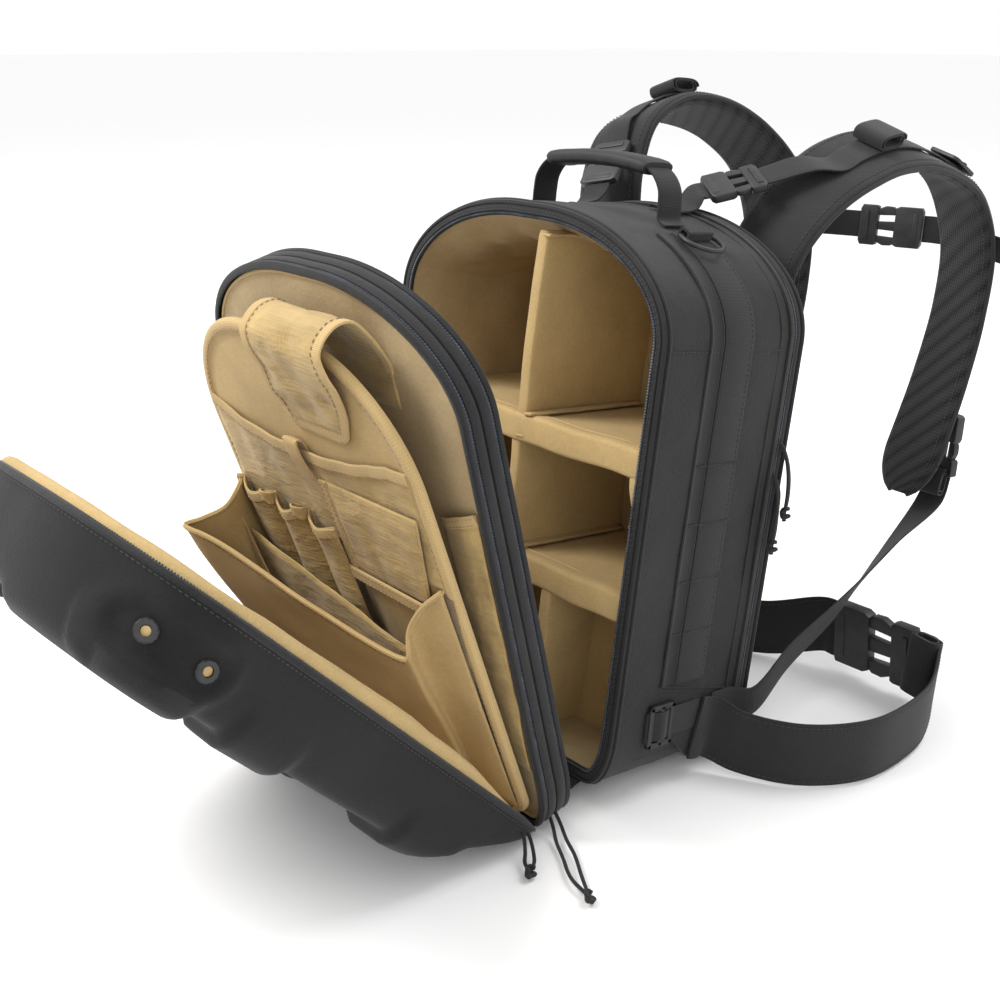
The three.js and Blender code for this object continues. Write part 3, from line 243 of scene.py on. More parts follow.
def clothPaint(name, dark, light, wrinkle, roughness, sheen=0.0):
    paint = Paint(name, Specular_IOR_Level=0.25, Sheen_Weight=sheen, Sheen_Roughness=0.5)
    place = paint.place()
    threads = paint.noise(paint.stretch(place, (900, 900, 300)), 1, 2)
    cross = paint.noise(paint.stretch(place, (300, 300, 1000)), 1, 2)
    patches = paint.noise(place, 14, 4, 0.6, 0.4)
    folds = paint.noise(place, 34, 3, 0.5, 0.9)
    weave = threads * 0.5 + cross * 0.5
    share = paint.steps(patches * 0.5 + weave * 0.5, 0.36, 0.64)
    height = weave * 0.2 + folds * wrinkle
    return paint.finish(paint.blend(share, dark, light), paint.bump(height, 0.6, 0.0035),
                        roughness + weave * 0.12)


def ripstopPaint(name, dark, light):
    paint = Paint(name, Specular_IOR_Level=0.35, Sheen_Weight=0.15)
    place = paint.place()
    axes = paint.parts(place)[::2]
    threads = [(axis * 950).reckon("SINE").reckon("ABSOLUTE") ** 14 for axis in axes]
    lines = threads[0] + threads[1]
    broad = paint.noise(place, 22, 4, 0.6, 1.2)
    # Shallow creases run both ways across the cloth. The colour follows the same noises as the bump, so raised
    # folds are painted lighter and creases darker: painted shade
    rising = paint.noise(paint.stretch(place, (24, 60, 95), (0, 0.72, 0)), 1, 3, 0.55, 0.6)
    falling = paint.noise(paint.stretch(place, (24, 60, 95), (0, -0.72, 0)), 1, 3, 0.55, 0.6)
    # painted shade: the tone share tracks the fold height, darker where the cloth sinks into a crease
    share = paint.steps(broad * 0.5 + rising * 0.25 + falling * 0.25, 0.36, 0.64)
    height = broad * 0.7 + rising * 0.55 + falling * 0.55 + lines * 0.04
    colour = paint.blend(lines * 0.12, paint.blend(share, dark, light), (0.56, 0.41, 0.19))
    return paint.finish(colour, paint.bump(height, 0.6, 0.005), 0.6 + broad * 0.2)


def webbingPaint(name, dark, light, pitch, angle=0.0):
    paint = Paint(name, Specular_IOR_Level=0.3, Sheen_Weight=0.1)
    u, v = paint.parts(paint.stretch(paint.woven(), (1, 1, 1), (0, 0, angle)))[:2]
    ribs = (v * (2 * math.pi / pitch)).reckon("SINE") * 0.5 + 0.5
    strands = (u * (2 * math.pi / 0.0023)).reckon("SINE") * 0.5 + 0.5
    grain = paint.noise(paint.place(), 620, 3)
    patches = paint.noise(paint.place(), 22, 3)
    share = ribs * 0.35 + strands * 0.15 + grain * 0.3 + patches * 0.3
    height = ribs * 0.6 + strands * 0.25 + grain * 0.3
    return paint.finish(paint.blend(paint.steps(share, 0.25, 0.85), dark, light),
                        paint.bump(height, 0.5, 0.0006), 0.68 + grain * 0.15)


def plasticPaint(name, dark, light, roughness):
    paint = Paint(name, Specular_IOR_Level=0.45)
    place = paint.place()
    grain = paint.noise(place, 1100, 2)
    wear = paint.noise(place, 60, 4, 0.6)
    return paint.finish(paint.blend(paint.steps(wear, 0.35, 0.7), dark, light),
                        paint.bump(grain * 0.5 + wear * 0.3, 0.18, 0.0008), roughness + wear * 0.18)


def meshPaint(name):
    paint = Paint(name, Specular_IOR_Level=0.2, Sheen_Weight=0.1)
    u, v = paint.parts(paint.stretch(paint.woven(), (1, 1, 1), (0, 0, 0.75)))[:2]
    holes = (u * 1500).reckon("SINE") * (v * 1500).reckon("SINE") * 0.5 + 0.5
    ribs = ((v * 420).reckon("SINE") * 0.5 + 0.5) ** 0.6
    grain = paint.noise(paint.place(), 500, 3)
    share = paint.steps(holes * 0.4 + ribs * 0.4 + grain * 0.2, 0.2, 0.85)
    return paint.finish(paint.blend(share, (0.004, 0.004, 0.005), (0.03, 0.03, 0.032)),
                        paint.bump(holes * 0.4 + ribs * 0.8, 0.7, 0.0014), 0.85 + grain * 0.1)


def floorPaint():
    paint = Paint("floor", Specular_IOR_Level=0.1)
    tone = paint.noise(paint.place(), 3, 2)
    return paint.finish(paint.blend(tone, (0.95, 0.95, 0.95), (0.97, 0.97, 0.97)),
                        paint.bump(tone, 0.02, 0.001), 0.9 + tone * 0.05)


print("materials")
black = clothPaint("black_nylon", (0.008, 0.008, 0.0088), (0.0185, 0.0185, 0.02), 0.3, 0.66, 0.1)
shellBlack = clothPaint("shell_felt", (0.007, 0.007, 0.0075), (0.0135, 0.0135, 0.0145), 0.06, 0.82, 0.1)
tan = clothPaint("tan_lining", (0.3, 0.22, 0.115), (0.425, 0.318, 0.172), 0.5, 0.8, 0.08)
smoothTan = clothPaint("tan_padded", (0.385, 0.27, 0.118), (0.505, 0.363, 0.168), 0.2, 0.78, 0.08)
bindingTan = webbingPaint("tan_binding", (0.375, 0.26, 0.112), (0.545, 0.39, 0.18), 0.0012)
ripstop = ripstopPaint("tan_ripstop", (0.285, 0.193, 0.07), (0.475, 0.332, 0.133))
brown = webbingPaint("brown_elastic", (0.12, 0.084, 0.046), (0.235, 0.17, 0.095), 0.0026)
webbing = webbingPaint("black_webbing", (0.007, 0.007, 0.0075), (0.0205, 0.0205, 0.022), 0.0011)
plastic = plasticPaint("black_plastic", (0.013, 0.013, 0.0145), (0.028, 0.028, 0.0305), 0.38)
rubber = plasticPaint("black_rubber", (0.011, 0.011, 0.0125), (0.022, 0.022, 0.0245), 0.55)
brass = plasticPaint("brass_tan", (0.36, 0.24, 0.09), (0.56, 0.39, 0.17), 0.5)
mesh = meshPaint("strap_mesh")
cordBlack = webbingPaint("cord_black", (0.006, 0.006, 0.007), (0.022, 0.022, 0.024), 0.0012, 0.6)
teethBlack = plasticPaint("zip_teeth", (0.018, 0.022, 0.03), (0.055, 0.065, 0.085), 0.32)
threadTan = plasticPaint("tan_thread", (0.25, 0.17, 0.08), (0.38, 0.27, 0.13), 0.7)
threadBlack = plasticPaint("black_thread", (0.02, 0.02, 0.022), (0.046, 0.046, 0.05), 0.6)


# Points and lines
def mix(a, b, share):
    return a + (b - a) * share


def ease(value, low, high):
    share = min(1, max(0, (value - low) / (high - low)))
    return share * share * (3 - 2 * share)


def curvePoint(points, t):
    place = t * (len(points) - 1)
    k = min(int(place), len(points) - 2)
    w = place - k
    b, c = points[k], points[k + 1]
    a = points[k - 1] if k else b * 2 - c
    d = points[k + 2] if k + 2 < len(points) else c * 2 - b
    da, db, dc = (max((q - p).length, 1e-4) ** 0.5 for p, q in ((a, b), (b, c), (c, d)))
    enter = ((b - a) / da - (c - a) / (da + db) + (c - b) / db) * db
    leave = ((c - b) / db - (d - b) / (db + dc) + (d - c) / dc) * db
    square, cube = c * 3 - b * 3 - enter * 2 - leave, b * 2 - c * 2 + enter + leave
    return b + enter * w + square * w ** 2 + cube * w ** 3


def smooth(points, count):
    rows = [p if isinstance(p, Vector) else Vector(p) for p in points]
    return [curvePoint(rows, i / count) for i in range(count + 1)]


def measure(points):
    lengths = [0.0]
    for p, q in zip(points, points[1:]):
        lengths.append(lengths[-1] + (q - p).length)
    return lengths


def sample(points, places):
    lengths = measure(points)
    found, k = [], 0
    for place in places:
        while k < len(points) - 2 and lengths[k + 1] < place:
            k += 1
        span = max(lengths[k + 1] - lengths[k], 1e-9)
        found.append(points[k].lerp(points[k + 1], min(max((place - lengths[k]) / span, 0), 1)))
    return found


def spaced(points, step, closed=False):
    line = [*points, points[0]] if closed else points
    total = measure(line)[-1]
    count = max(2, round(total / step))
    found = sample(line, [total * i / count for i in range(count + 1)])
    return found[:-1] if closed else found


def crinkle(p, size, amount, seed=0.0):
    return amount * noise.noise(p / size + vec(seed, seed * 1.7, -seed))


def halfOutline(size, inset, heel=10, side=26, shoulder=30):
    low = inset + size.get("lift", 0)
    high = size["height"] + size.get("lift", 0) - inset
    heelX, heelZ = max(size["heelX"] - inset, 1), max(size["heelZ"] - inset, 1)
    shoulderX, shoulderZ = max(size["shoulderX"] - inset, 2), max(size["shoulderZ"] - inset, 2)
    baseX, sideX = size["base"] / 2 - inset, size["width"] / 2 - inset
    points = [(0, low), ((baseX - heelX) * 0.33, low), ((baseX - heelX) * 0.67, low)]
    for i in range(heel + 1):
        turn = (i / heel - 1) * 90 * degree
        points.append((baseX - heelX + heelX * math.cos(turn), low + heelZ + heelZ * math.sin(turn)))
    for i in range(1, side):
        share = i / side
        points.append((mix(baseX, sideX, share), mix(low + heelZ, high - shoulderZ, share)))
    for i in range(shoulder + 1):
        turn = (i / shoulder) * 90 * degree
        points.append((sideX - shoulderX + shoulderX * math.cos(turn),
                       high - shoulderZ + shoulderZ * math.sin(turn)))
    return [*points, (0, high)]


def outline(size, inset, *steps):
    half = halfOutline(size, inset, *steps)
    return [*half, *[(-x, z) for x, z in half[-2:0:-1]]]


def ringAt(size, inset, place, w):
    return [place(x, s, w) for x, s in outline(size, inset)]


def halfWidthAt(size, inset, height):
    half = halfOutline(size, inset)
    for (x0, z0), (x1, z1) in zip(half, half[1:]):
        if z1 > height >= z0:
            return mix(x0, x1, (height - z0) / (z1 - z0))
    return half[-2][0]


def surfaceZ(x, inset=-gap):
    sideX, high = body["width"] / 2 - inset, body["height"] - inset
    shoulderX, shoulderZ = body["shoulderX"] - inset, body["shoulderZ"] - inset
    across = max(abs(x) - (sideX - shoulderX), 0) / shoulderX
    return high - shoulderZ + shoulderZ * math.sqrt(max(1 - across ** 2, 0))


# Meshes: each is a grid wrapped round rings of points
def addGrid(bm, rings, closed=True, joined=False, capped=False, paint=None):
    count = len(rings[0])
    columns = count if closed else count - 1
    rows = len(rings) if joined else len(rings) - 1
    made = bmesh.ops.create_grid(bm, x_segments=columns, y_segments=rows, size=0.5)["verts"]
    layer = bm.loops.layers.uv.get("along") or bm.loops.layers.uv.new("along")
    widest = max(range(len(rings)), key=lambda r: (rings[r][0] - rings[r][count // 2]).length)
    around = measure([*rings[widest], rings[widest][0]])
    down = measure([*[ring[0] for ring in rings], rings[0][0]])
    places = {}
    for i, vert in enumerate(made):
        row, column = divmod(i, columns + 1)
        vert.co = bag(rings[row % len(rings)][column % count])
        places[vert] = (row, column)
    faces = {face for vert in made for face in vert.link_faces}
    for face in faces:
        for loop in face.loops:
            row, column = places[loop.vert]
            loop[layer].uv = (around[column] / 1000, down[row] / 1000)
        if paint:
            row, column = (min(places[v][k] for v in face.verts) for k in (0, 1))
            face.material_index = paint(row, column)
    if closed or joined:
        bmesh.ops.remove_doubles(bm, verts=made, dist=1e-7)
    if capped:
        rim = [v for v in made if v.is_valid and (capped is True or places[v][0] == rows)]
        edges = {e for v in rim for e in v.link_edges if e.is_boundary}
        bmesh.ops.holes_fill(bm, edges=list(edges), sides=0)


def finishPiece(name, bm, materials, sharp=40, solid=0.0, replaced=(), slot=None):
    bmesh.ops.recalc_face_normals(bm, faces=bm.faces)
    data = bpy.data.meshes.new(name)
    bm.to_mesh(data)
    bm.free()
    data.shade_smooth()
    data.set_sharp_from_angle(angle=sharp * degree)
    for material in materials if isinstance(materials, tuple) else (materials,):
        data.materials.append(material)
    piece = bpy.data.objects.new(name, data)
    scene.collection.objects.link(piece)
    if solid:
        thick = piece.modifiers.new("thickness", "SOLIDIFY")
        thick.thickness = solid / 1000
        thick.offset = 0
    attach(piece, "root")
    if replaced:
        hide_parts(*replaced)
    return piece


def loft(name, rings, materials, closed=True, joined=False, capped=False, paint=None, **rest):
    bm = bmesh.new()
    addGrid(bm, rings, closed, joined, capped, paint)
    return finishPiece(name, bm, materials, **rest)


def clothGrid(place, countU, countV):
    return [[place(i / countU, j / countV) for i in range(countU + 1)] for j in range(countV + 1)]


def cloth(name, place, countU, countV, thickness, material, **rest):
    return loft(name, clothGrid(place, countU, countV), material, closed=False, solid=thickness, **rest)


def tubeRings(points, radius, sides=6, closed=False, up=vec(0, 1, 0), flat=1.0):
    rings = []
    last = len(points) - 1
    for i, p in enumerate(points):
        before = points[i - 1] if i or closed else p
        after = points[(i + 1) % len(points)] if i < last or closed else p
        tangent = (after - before).normalized()
        guide = up(i) if callable(up) else up
        side = tangent.cross(guide).normalized()
        other = side.cross(tangent)
        r = radius(i) if callable(radius) else radius
        rings.append([p + side * (r * math.cos(2 * math.pi * k / sides)) + other * (r * flat * math.sin(
            2 * math.pi * k / sides)) for k in range(sides)])
    return rings


def tube(name, points, radius, material, sides=8, closed=False, up=vec(0, 1, 0), flat=1.0, **rest):
    return loft(name, tubeRings(points, radius, sides, closed, up, flat), material, joined=closed,
                capped=not closed, **rest)


def coil(name, lines, radius, pitch, material, closed=True, up=vec(0, 1, 0), **rest):
    bm = bmesh.new()
    for line in lines:
        points = spaced(line, pitch / 2, closed)
        if closed and len(points) % 2:
            points = spaced(line, measure([*line, line[0]])[-1] / (len(points) + 1), True)
        rings = tubeRings(points, lambda i: radius if i % 2 else radius * 0.5, 6, closed, up)
        addGrid(bm, rings, True, closed, not closed)
    return finishPiece(name, bm, material, **rest)


def stitches(name, lines, material, up=vec(0, 1, 0), length=2.6, space=1.5, radius=0.38, **rest):
    bm = bmesh.new()
    for line in lines:
        total = measure(line)[-1]
        count = max(1, int(total / (length + space)))
        for k in range(count):
            start = k * (length + space)
            places = [start, start + length * 0.2, start + length * 0.8, start + length]
            radii = (radius * 0.2, radius, radius, radius * 0.2)
            addGrid(bm, tubeRings(sample(line, places), lambda i: radii[i], 5, False, up), True, False, True)
    return finishPiece(name, bm, material, **rest)


def rounded(value, power):
    return math.copysign(abs(value) ** power, value)


def oval(width, thickness, count=16, power=0.5):
    found = []
    for k in range(count):
        turn = 2 * math.pi * (k + 0.5) / count
        x, y = rounded(math.cos(turn), power), rounded(math.sin(turn), power)
        found.append((width / 2 * x, thickness / 2 * y))
    return found


def ribbonFrames(rows, count):
    points = [row[0] for row in rows]
    frames = []
    for i in range(count + 1):
        t = i / count
        place = t * (len(rows) - 1)
        k = min(int(place), len(rows) - 2)
        tangent = (curvePoint(points, min(t + 1e-3, 1)) - curvePoint(points, max(t - 1e-3, 0))).normalized()
        side = rows[k][1].lerp(rows[k + 1][1], place - k)
        side = (side - tangent * side.dot(tangent)).normalized()
        frames.append({"t": t, "point": curvePoint(points, t), "tangent": tangent, "side": side,
                       "normal": side.cross(tangent)})
    return frames


def offsetFrom(f, across, out):
    return f["point"] + f["side"] * across + f["normal"] * out


def sweepRings(frames, section):
    return [[offsetFrom(f, a, o) for a, o in (section(f) if callable(section) else section)] for f in frames]


def sweep(name, frames, section, material, **rest):
    return loft(name, sweepRings(frames, section), material, capped=True, **rest)


def band(name, rows, width, thickness, material, count=40, power=0.35, **rest):
    return sweep(name, ribbonFrames(rows, count), oval(width, thickness, 12, power), material, **rest)


def plate(bm, points, depth, bevel, toBag):
    made = bmesh.ops.create_circle(bm, segments=len(points), radius=1, cap_ends=True)["verts"]
    face = made[0].link_faces[0]
    for vert, (x, y) in zip(made, points):
        vert.co = vec(x, y, -depth / 2)
    grown = bmesh.ops.extrude_face_region(bm, geom=[face])["geom"]
    top = [v for v in grown if isinstance(v, bmesh.types.BMVert)]
    bmesh.ops.translate(bm, verts=top, vec=(0, 0, depth))
    verts = [*made, *top]
    faces = list({f for v in verts for f in v.link_faces})
    edges = [e for e in {e for f in faces for e in f.edges} if len(e.link_faces) == 2 and abs(
        e.verts[0].co.z - e.verts[1].co.z) < 1e-6]
    if bevel:
        bmesh.ops.recalc_face_normals(bm, faces=faces)
        result = bmesh.ops.bevel(bm, geom=edges, offset=bevel, offset_type="OFFSET", segments=3, profile=0.5,
                                 affect="EDGES", material=-1)
        verts = list({*[v for v in verts if v.is_valid], *result["verts"]})
    for vert in verts:
        vert.co = bag(toBag @ vert.co)


def frameAt(origin, along, face):
    x = along.normalized()
    z = (face - x * face.dot(x)).normalized()
    turn = Matrix((x, z.cross(x), z)).transposed().to_4x4()
    return Matrix.Translation(origin) @ turn


def roundedLoop(width, height, radius, steps=5):
    points = []
    for cx, cy, start in ((1, -1, -90), (1, 1, 0), (-1, 1, 90), (-1, -1, 180)):
        for i in range(steps + 1):
            turn = (start + 90 * i / steps) * degree
            points.append((cx * (width / 2 - radius) + radius * math.cos(turn),
                           cy * (height / 2 - radius) + radius * math.sin(turn)))
    return points


def sheetFacts(piece, rings):
    wide = sum(measure(ring)[-1] for ring in rings) / len(rings)
    columns = list(zip(*rings))
    long = sum(measure(column)[-1] for column in columns) / len(columns)
    area = sum(face.area for face in piece.data.polygons)
    width, length = wide / 1000, max(long / 1000, area / (wide / 1000))
    min(area, width * length)


# Cords: the zip pulls, each a doubled cord with a knot
def addPulls():
    cord = {"diameter": 2.8, "knot": 9}
    routes = {
        "pull_front_flap": (
            ((128.9, -43, -6.9), (138, -45, -12.2), (150, -50, -16.8), (168, -58, -18.8), (190, -72, -19.6),
             (210, -84, -20.4)),
            ((128.9, -48, -8.9), (137, -51, -14.4), (147, -57, -18.2), (164, -66, -19.8), (187, -79, -20.4),
             (210, -84, -20.4))),
        "pull_front_shell": (
            ((138.6, -78, -8.8), (143, -79, -11.8), (150, -82, -16.8), (157, -87, -20.2), (163, -96, -21.6)),
            ((138.6, -83, -7), (143, -85, -10.6), (148, -88, -16.6), (154, -93, -20.6), (163, -96, -21.6))),
        "pull_rear_upper": (
            ((151.2, 138, 262), (155, 140, 255), (158, 143, 240), (158, 146, 222), (157, 147, 206)),
            ((151.2, 142, 258), (154, 145, 249), (155, 149, 236), (156, 150, 220), (157, 147, 206))),
        "pull_rear_lower": (
            ((150.2, 137, 236), (154, 137, 228), (157, 137, 212), (157, 137, 194), (156, 138, 180)),
            ((150.2, 141, 232), (153, 142, 222), (154, 142, 208), (155, 141, 192), (156, 138, 180))),
    }
    for name, strands in routes.items():
        end = Vector(strands[0][-1])
        before = Vector(strands[0][-2])
        axis = (end - before).normalized()
        loops = smooth([end - axis * 3.4 + vec(2.6, 1, 1.4), end + vec(-3, 1.4, 2.2),
                        end + vec(1.2, -3, -0.6) + axis * 1.6, end + vec(2.8, 2.2, -1.2),
                        end + vec(-2.6, 1.8, -1.6) + axis * 0.8, end + vec(-0.6, -2.4, 2.2),
                        end + axis * 3, end + axis * 6 + vec(0.8, 0, 0)], 40)
        knot = tube(name + "_knot", loops, 1.7, cordBlack, 8, up=vec(0.31, 0.83, 0.46), slot="cord")
        for k, strand in enumerate(strands):
            line = spaced(smooth(strand, 30), 1.6)
            piece = tube(f"{name}_strand_{k + 1}", line, cord["diameter"] / 2, cordBlack, 10,
                         up=vec(0.31, 0.83, 0.46), replaced=(name,), slot="cord")
            path = [bag(p) for p in line]
            length = measure(path)[-1]
            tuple(path[0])


print("cords")
addPulls()


# Body
def addBody():
    rows = [(3.4, 0.2), (1, 0), (0, 1)]
    rows += [(0, y) for y in (4, 9, 15, 22, *range(30, 119, 8), 125, 131, 136, 140)]
    rows += [(0, 144.5), (0.5, 147), (1.8, 149.2), (3.8, 150.5)]
    rows += [(inset, body["depth"]) for inset in (6, 20, 60, 105)]
    rings = []
    for inset, y in rows:
        ring = []
        for x, z in outline(body, inset):
            p = vec(x, y, z)
            if 3 < y < 147:
                out = vec(x, 0, (z - 200) * 0.7).normalized()
                puff = min(y - 3, 144 - y, 24) / 24
                amount = crinkle(p, 46, 1.5, 3.1) + crinkle(p, 19, 0.6, 8.3)
                p += out * (amount - 0.6) * puff
            ring.append(p)
        rings.append(ring)
    loft("body_cover", rings, black, capped=False, replaced=("body_shell",), solid=1.2)
    for name, inset, y, radius in (("piping_front", -0.4, 1.6, 1.5), ("piping_rear", -1.2, 146.5, 1.9),
                                   ("seam_rear", -0.1, 123, 0.8)):
        line = spaced(ringAt(body, inset, upright, -y), 4, True)
        tube(name, line, radius, black, 8, True)
    # Zip at the rear edge: two tapes and the coil between them
    tape = [(-0.6, 132), (-1.6, 132.8), (-1.8, 136), (-1.0, 137.2), (-1.0, 138.8), (-1.8, 140), (-1.6, 143),
            (-0.6, 144)]
    loft("rear_zip_tape", [ringAt(body, inset, upright, -y) for inset, y in tape], webbing, solid=0.8,
         replaced=("rear_zip_band",), slot="nylon")
    coil("rear_zip_teeth", [ringAt(body, -1.7, upright, -138)], 0.9, 1.9, teethBlack)
    # Horizontal seams and the bar tacks on the right and left side
    seams = []
    for sign in (1, -1):
        for y0, z0, y1, z1 in ((6, 341, 128, 334), (42, 79, 140, 56)):
            line = []
            for i in range(25):
                y, z = mix(y0, y1, i / 24), mix(z0, z1, i / 24)
                line.append(vec(sign * (halfWidthAt(body, 0, z) + 0.1), y, z))
            seams.append(line)
    bm = bmesh.new()
    for line in seams:
        addGrid(bm, tubeRings(line, 0.9, 6, up=vec(0, 0, 1)), capped=True)
    finishPiece("side_seams", bm, black)
    below = [[p + vec(0.7 * math.copysign(1, p.x), 0, -3) for p in line] for line in seams]
    stitches("side_seam_stitches", below, threadBlack, up=vec(0, 0, 1), radius=0.3)
    dart = []
    for sign in (1, -1):
        for y0, y1, z in ((26, 27, 60), (30, 128, 18)):
            x = sign * (halfWidthAt(body, 0, z) + 0.3)
            dart.append([vec(x, mix(y0, y1, i / 8), z) for i in range(9)])
    stitches("heel_stitches", dart, threadBlack, up=vec(0, 0, 1), radius=0.3)


def addBodyZip():
    profile = [(0.6, -0.2), (-0.4, -1.2), (0.2, -2.8), (1.8, -3.2), (2.8, -2.0), (3.4, -2.0), (4, -3.0),
               (7.6, -3.1), (8.2, -2.2), (10.9, -2.0), (11, -0.6)]
    loft("body_zip_tape", [ringAt(body, inset, upright, -y) for inset, y in profile], black, solid=0.8,
         replaced=("body_zip_band",))
    coil("body_zip_teeth", [ringAt(body, 9.8, upright, 2.9)], 1.25, 2.1, teethBlack)
    lines = [ringAt(body, 5, upright, 3.3), ringAt(body, 7, upright, 3.35)]
    stitches("body_zip_stitches", lines, threadBlack)


def addLining():
    inner = 9.8
    rows = [(5, 0.2), (6, -0.8), (8, -1.2), (inner - 0.6, 0.6), (inner, 4)]
    rows += [(inner, y) for y in range(10, 130, 8)]
    rows += [(inner + 1, 133), (inner + 5, 135.4)]
    rings = []
    for inset, y in rows:
        ring = []
        for x, z in outline(body, inset):
            p = vec(x, y, z)
            inward = vec(-x, 0, (200 - z) * 0.8).normalized()
            folds = abs(crinkle(p, 38, 4.2, 1.2)) + abs(crinkle(p, 15, 1.5, 7))
            high = ease(z, 335, 405) * ease(y, 6, 46)
            across = vec(x * 0.9, y * 0.3, z * 0.9)
            sag = high * (15 + 7 * abs(crinkle(across, 26, 1, 2.6)))
            ring.append(p + inward * (folds if y > 4 else 0) - vec(0, 0, sag))
        rings.append(ring)
    loft("lining_walls", rings, tan, solid=1.6, replaced=("body_lining",))

    def backWall(u, v):
        z = mix(14, 410, v)
        half = halfWidthAt(body, 15, z) if z < 400 else max(halfWidthAt(body, 15, 400) - (z - 400) * 3, 10)
        p = vec((u * 2 - 1) * half, 0, z)
        ridge = abs(crinkle(vec(p.x, 0, p.z * 0.6), 30, 5, 2.2)) + abs(crinkle(p, 50, 4, 5))
        p.y = 133.8 - ridge
        return p
    piece = cloth("lining_back", backWall, 56, 76, 1.2, tan)


def addSideWebbing():
    half = halfOutline(body, 0)
    line = [p for p in half if p[1] > 78]
    end = next(i for i, (x, z) in enumerate(line) if z > 340 and x < 14 + 136 * math.cos(57 * degree))
    points = [(halfWidthAt(body, 0, 78), 78), *line[:end]]
    for side, sign in (("right", 1), ("left", -1)):
        rows = []
        for i, (x, z) in enumerate(points):
            x0, z0 = points[max(i - 1, 0)]
            x1, z1 = points[min(i + 1, len(points) - 1)]
            out = vec(z1 - z0, 0, x0 - x1).normalized()
            rows.append((vec(x, 0, z), out))

        def strip(profile):
            return [[vec(sign * (p.x + out.x * lift), y, p.z + out.z * lift) for y, lift in profile]
                    for p, out in rows]
        webbed = [(58, 0.3), (58.2, 2.0), (59, 2.3), (73, 2.4), (89, 2.3), (89.8, 2.0), (90, 0.3)]
        loft(f"side_webbing_{side}_cloth", strip(webbed), webbing, capped=True,
             replaced=(f"side_webbing_{side}",))
        piped = [(43, 0.2), (43.2, 1.4), (44.4, 1.9), (45.6, 1.3), (47, 0.9), (54.5, 0.9), (55.6, 1.3),
                 (56.6, 1.8), (57.7, 1.2), (57.8, 0.2)]
        loft(f"side_strip_{side}", strip(piped), black, capped=True)
        tacks = []
        for z in (252, 207, 162, 120):
            x = halfWidthAt(body, 0, z) + 2.5
            for sunk, low, high in ((0, 57, 92), (1.2, 44, 58)):
                tacks.append([vec(sign * (x - sunk), y, z + (-0.5, 0.5)[(y - low) % 2])
                              for y in range(low, high)])
        bm = bmesh.new()
        for tack in tacks:
            addGrid(bm, tubeRings(tack, 0.5, 5, up=vec(0, 0, 1)), capped=True)
        finishPiece(f"bar_tacks_{side}", bm, threadBlack)
        lines = [[vec(sign * (p.x + out.x * 2.5), y, p.z + out.z * 2.5) for p, out in rows]
                 for y in (60.5, 87.5)]
        stitches(f"side_strip_{side}_stitches", lines, threadBlack, radius=0.26)


def unlean(p):
    return vec(p[0], p[1] * cosineLean - p[2] * sineLean, p[2] * cosineLean + p[1] * sineLean)


def nodePoints(name):
    return [unlean(v.co * 1000 - shift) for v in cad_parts[name].data.vertices]


def addRings():
    ring = {"half": 19, "bar": 3.4, "sides": 10}
    for side, sign in (("right", 1), ("left", -1)):
        points = nodePoints(f"d_ring_{side}")
        middle = sum(points, Vector()) / len(points)
        # The ring hangs in one plane, which holds the y direction and its longest other direction
        turns = [vec(sign * math.cos(a * degree), 0, -math.sin(a * degree)) for a in range(20, 80)]
        along = max(turns, key=lambda d: max(p.dot(d) for p in points) - min(p.dot(d) for p in points))
        places = [p.dot(along) for p in points]
        reach = max(places) - min(places)
        origin = middle + along * ((max(places) + min(places)) / 2 - middle.dot(along))
        half, bar = ring["half"], ring["bar"]
        foot = origin + along * (bar - reach) / 2
        line = [foot + vec(0, mix(bar - half, half - bar, k / 8), 0) for k in range(9)]
        arc = origin + along * (reach / 2 - half)
        for k in range(17):
            turn = (90 - 180 * k / 16) * degree
            line.append(arc + along * ((half - bar / 2) * math.cos(turn)) + Vector(
                (0, (half - bar / 2) * math.sin(turn), 0)))
        tube(f"d_ring_{side}_bar", spaced(line, 2.4, True), bar / 2, plastic, ring["sides"], True,
             up=along.cross(vec(0, 1, 0)), replaced=(f"d_ring_{side}",))


def addHandle():
    handle = {"footX": 78, "legX": 69, "rise": 36, "grip": 56, "width": 33, "thickness": 12, "middle": 75}
    top = body["height"] + handle["rise"]
    foot, leg = surfaceZ(handle["footX"]), surfaceZ(handle["legX"])
    right = [(handle["footX"], foot + 1.2), (handle["legX"] + 1, leg + 2.4),
             (handle["legX"], leg + handle["rise"] * 0.35), (handle["legX"] - 2, leg + 25.2),
             (handle["grip"], top - handle["rise"] * 0.16), (28, top - handle["rise"] * 0.03)]
    across = vec(0, 1, 0)
    rows = [(vec(-x, handle["middle"], z), across) for x, z in right]
    rows += [(vec(0, handle["middle"], top), across)]
    rows += [(vec(x, handle["middle"], z), across) for x, z in reversed(right)]
    frames = ribbonFrames(rows, 96)
    sweep("handle_web", frames, oval(25, 2.2, 12, 0.35), webbing, replaced=("handle_webbing",))
    grip = [f for f in frames if abs(f["point"].x) < handle["grip"]]

    def section(f):
        x = abs(f["point"].x)
        close = min(1, (handle["grip"] - x + 3) / 9)
        rib = 1 + 0.05 * (math.sin(x * 0.9) > 0.2) * (x > 34)
        wide = handle["width"] * (0.86 + 0.14 * close) * rib
        return oval(wide, handle["thickness"] * (0.62 + 0.38 * close), 20, 0.62)
    sweep("handle_rubber", grip, section, rubber, replaced=("handle_grip",))


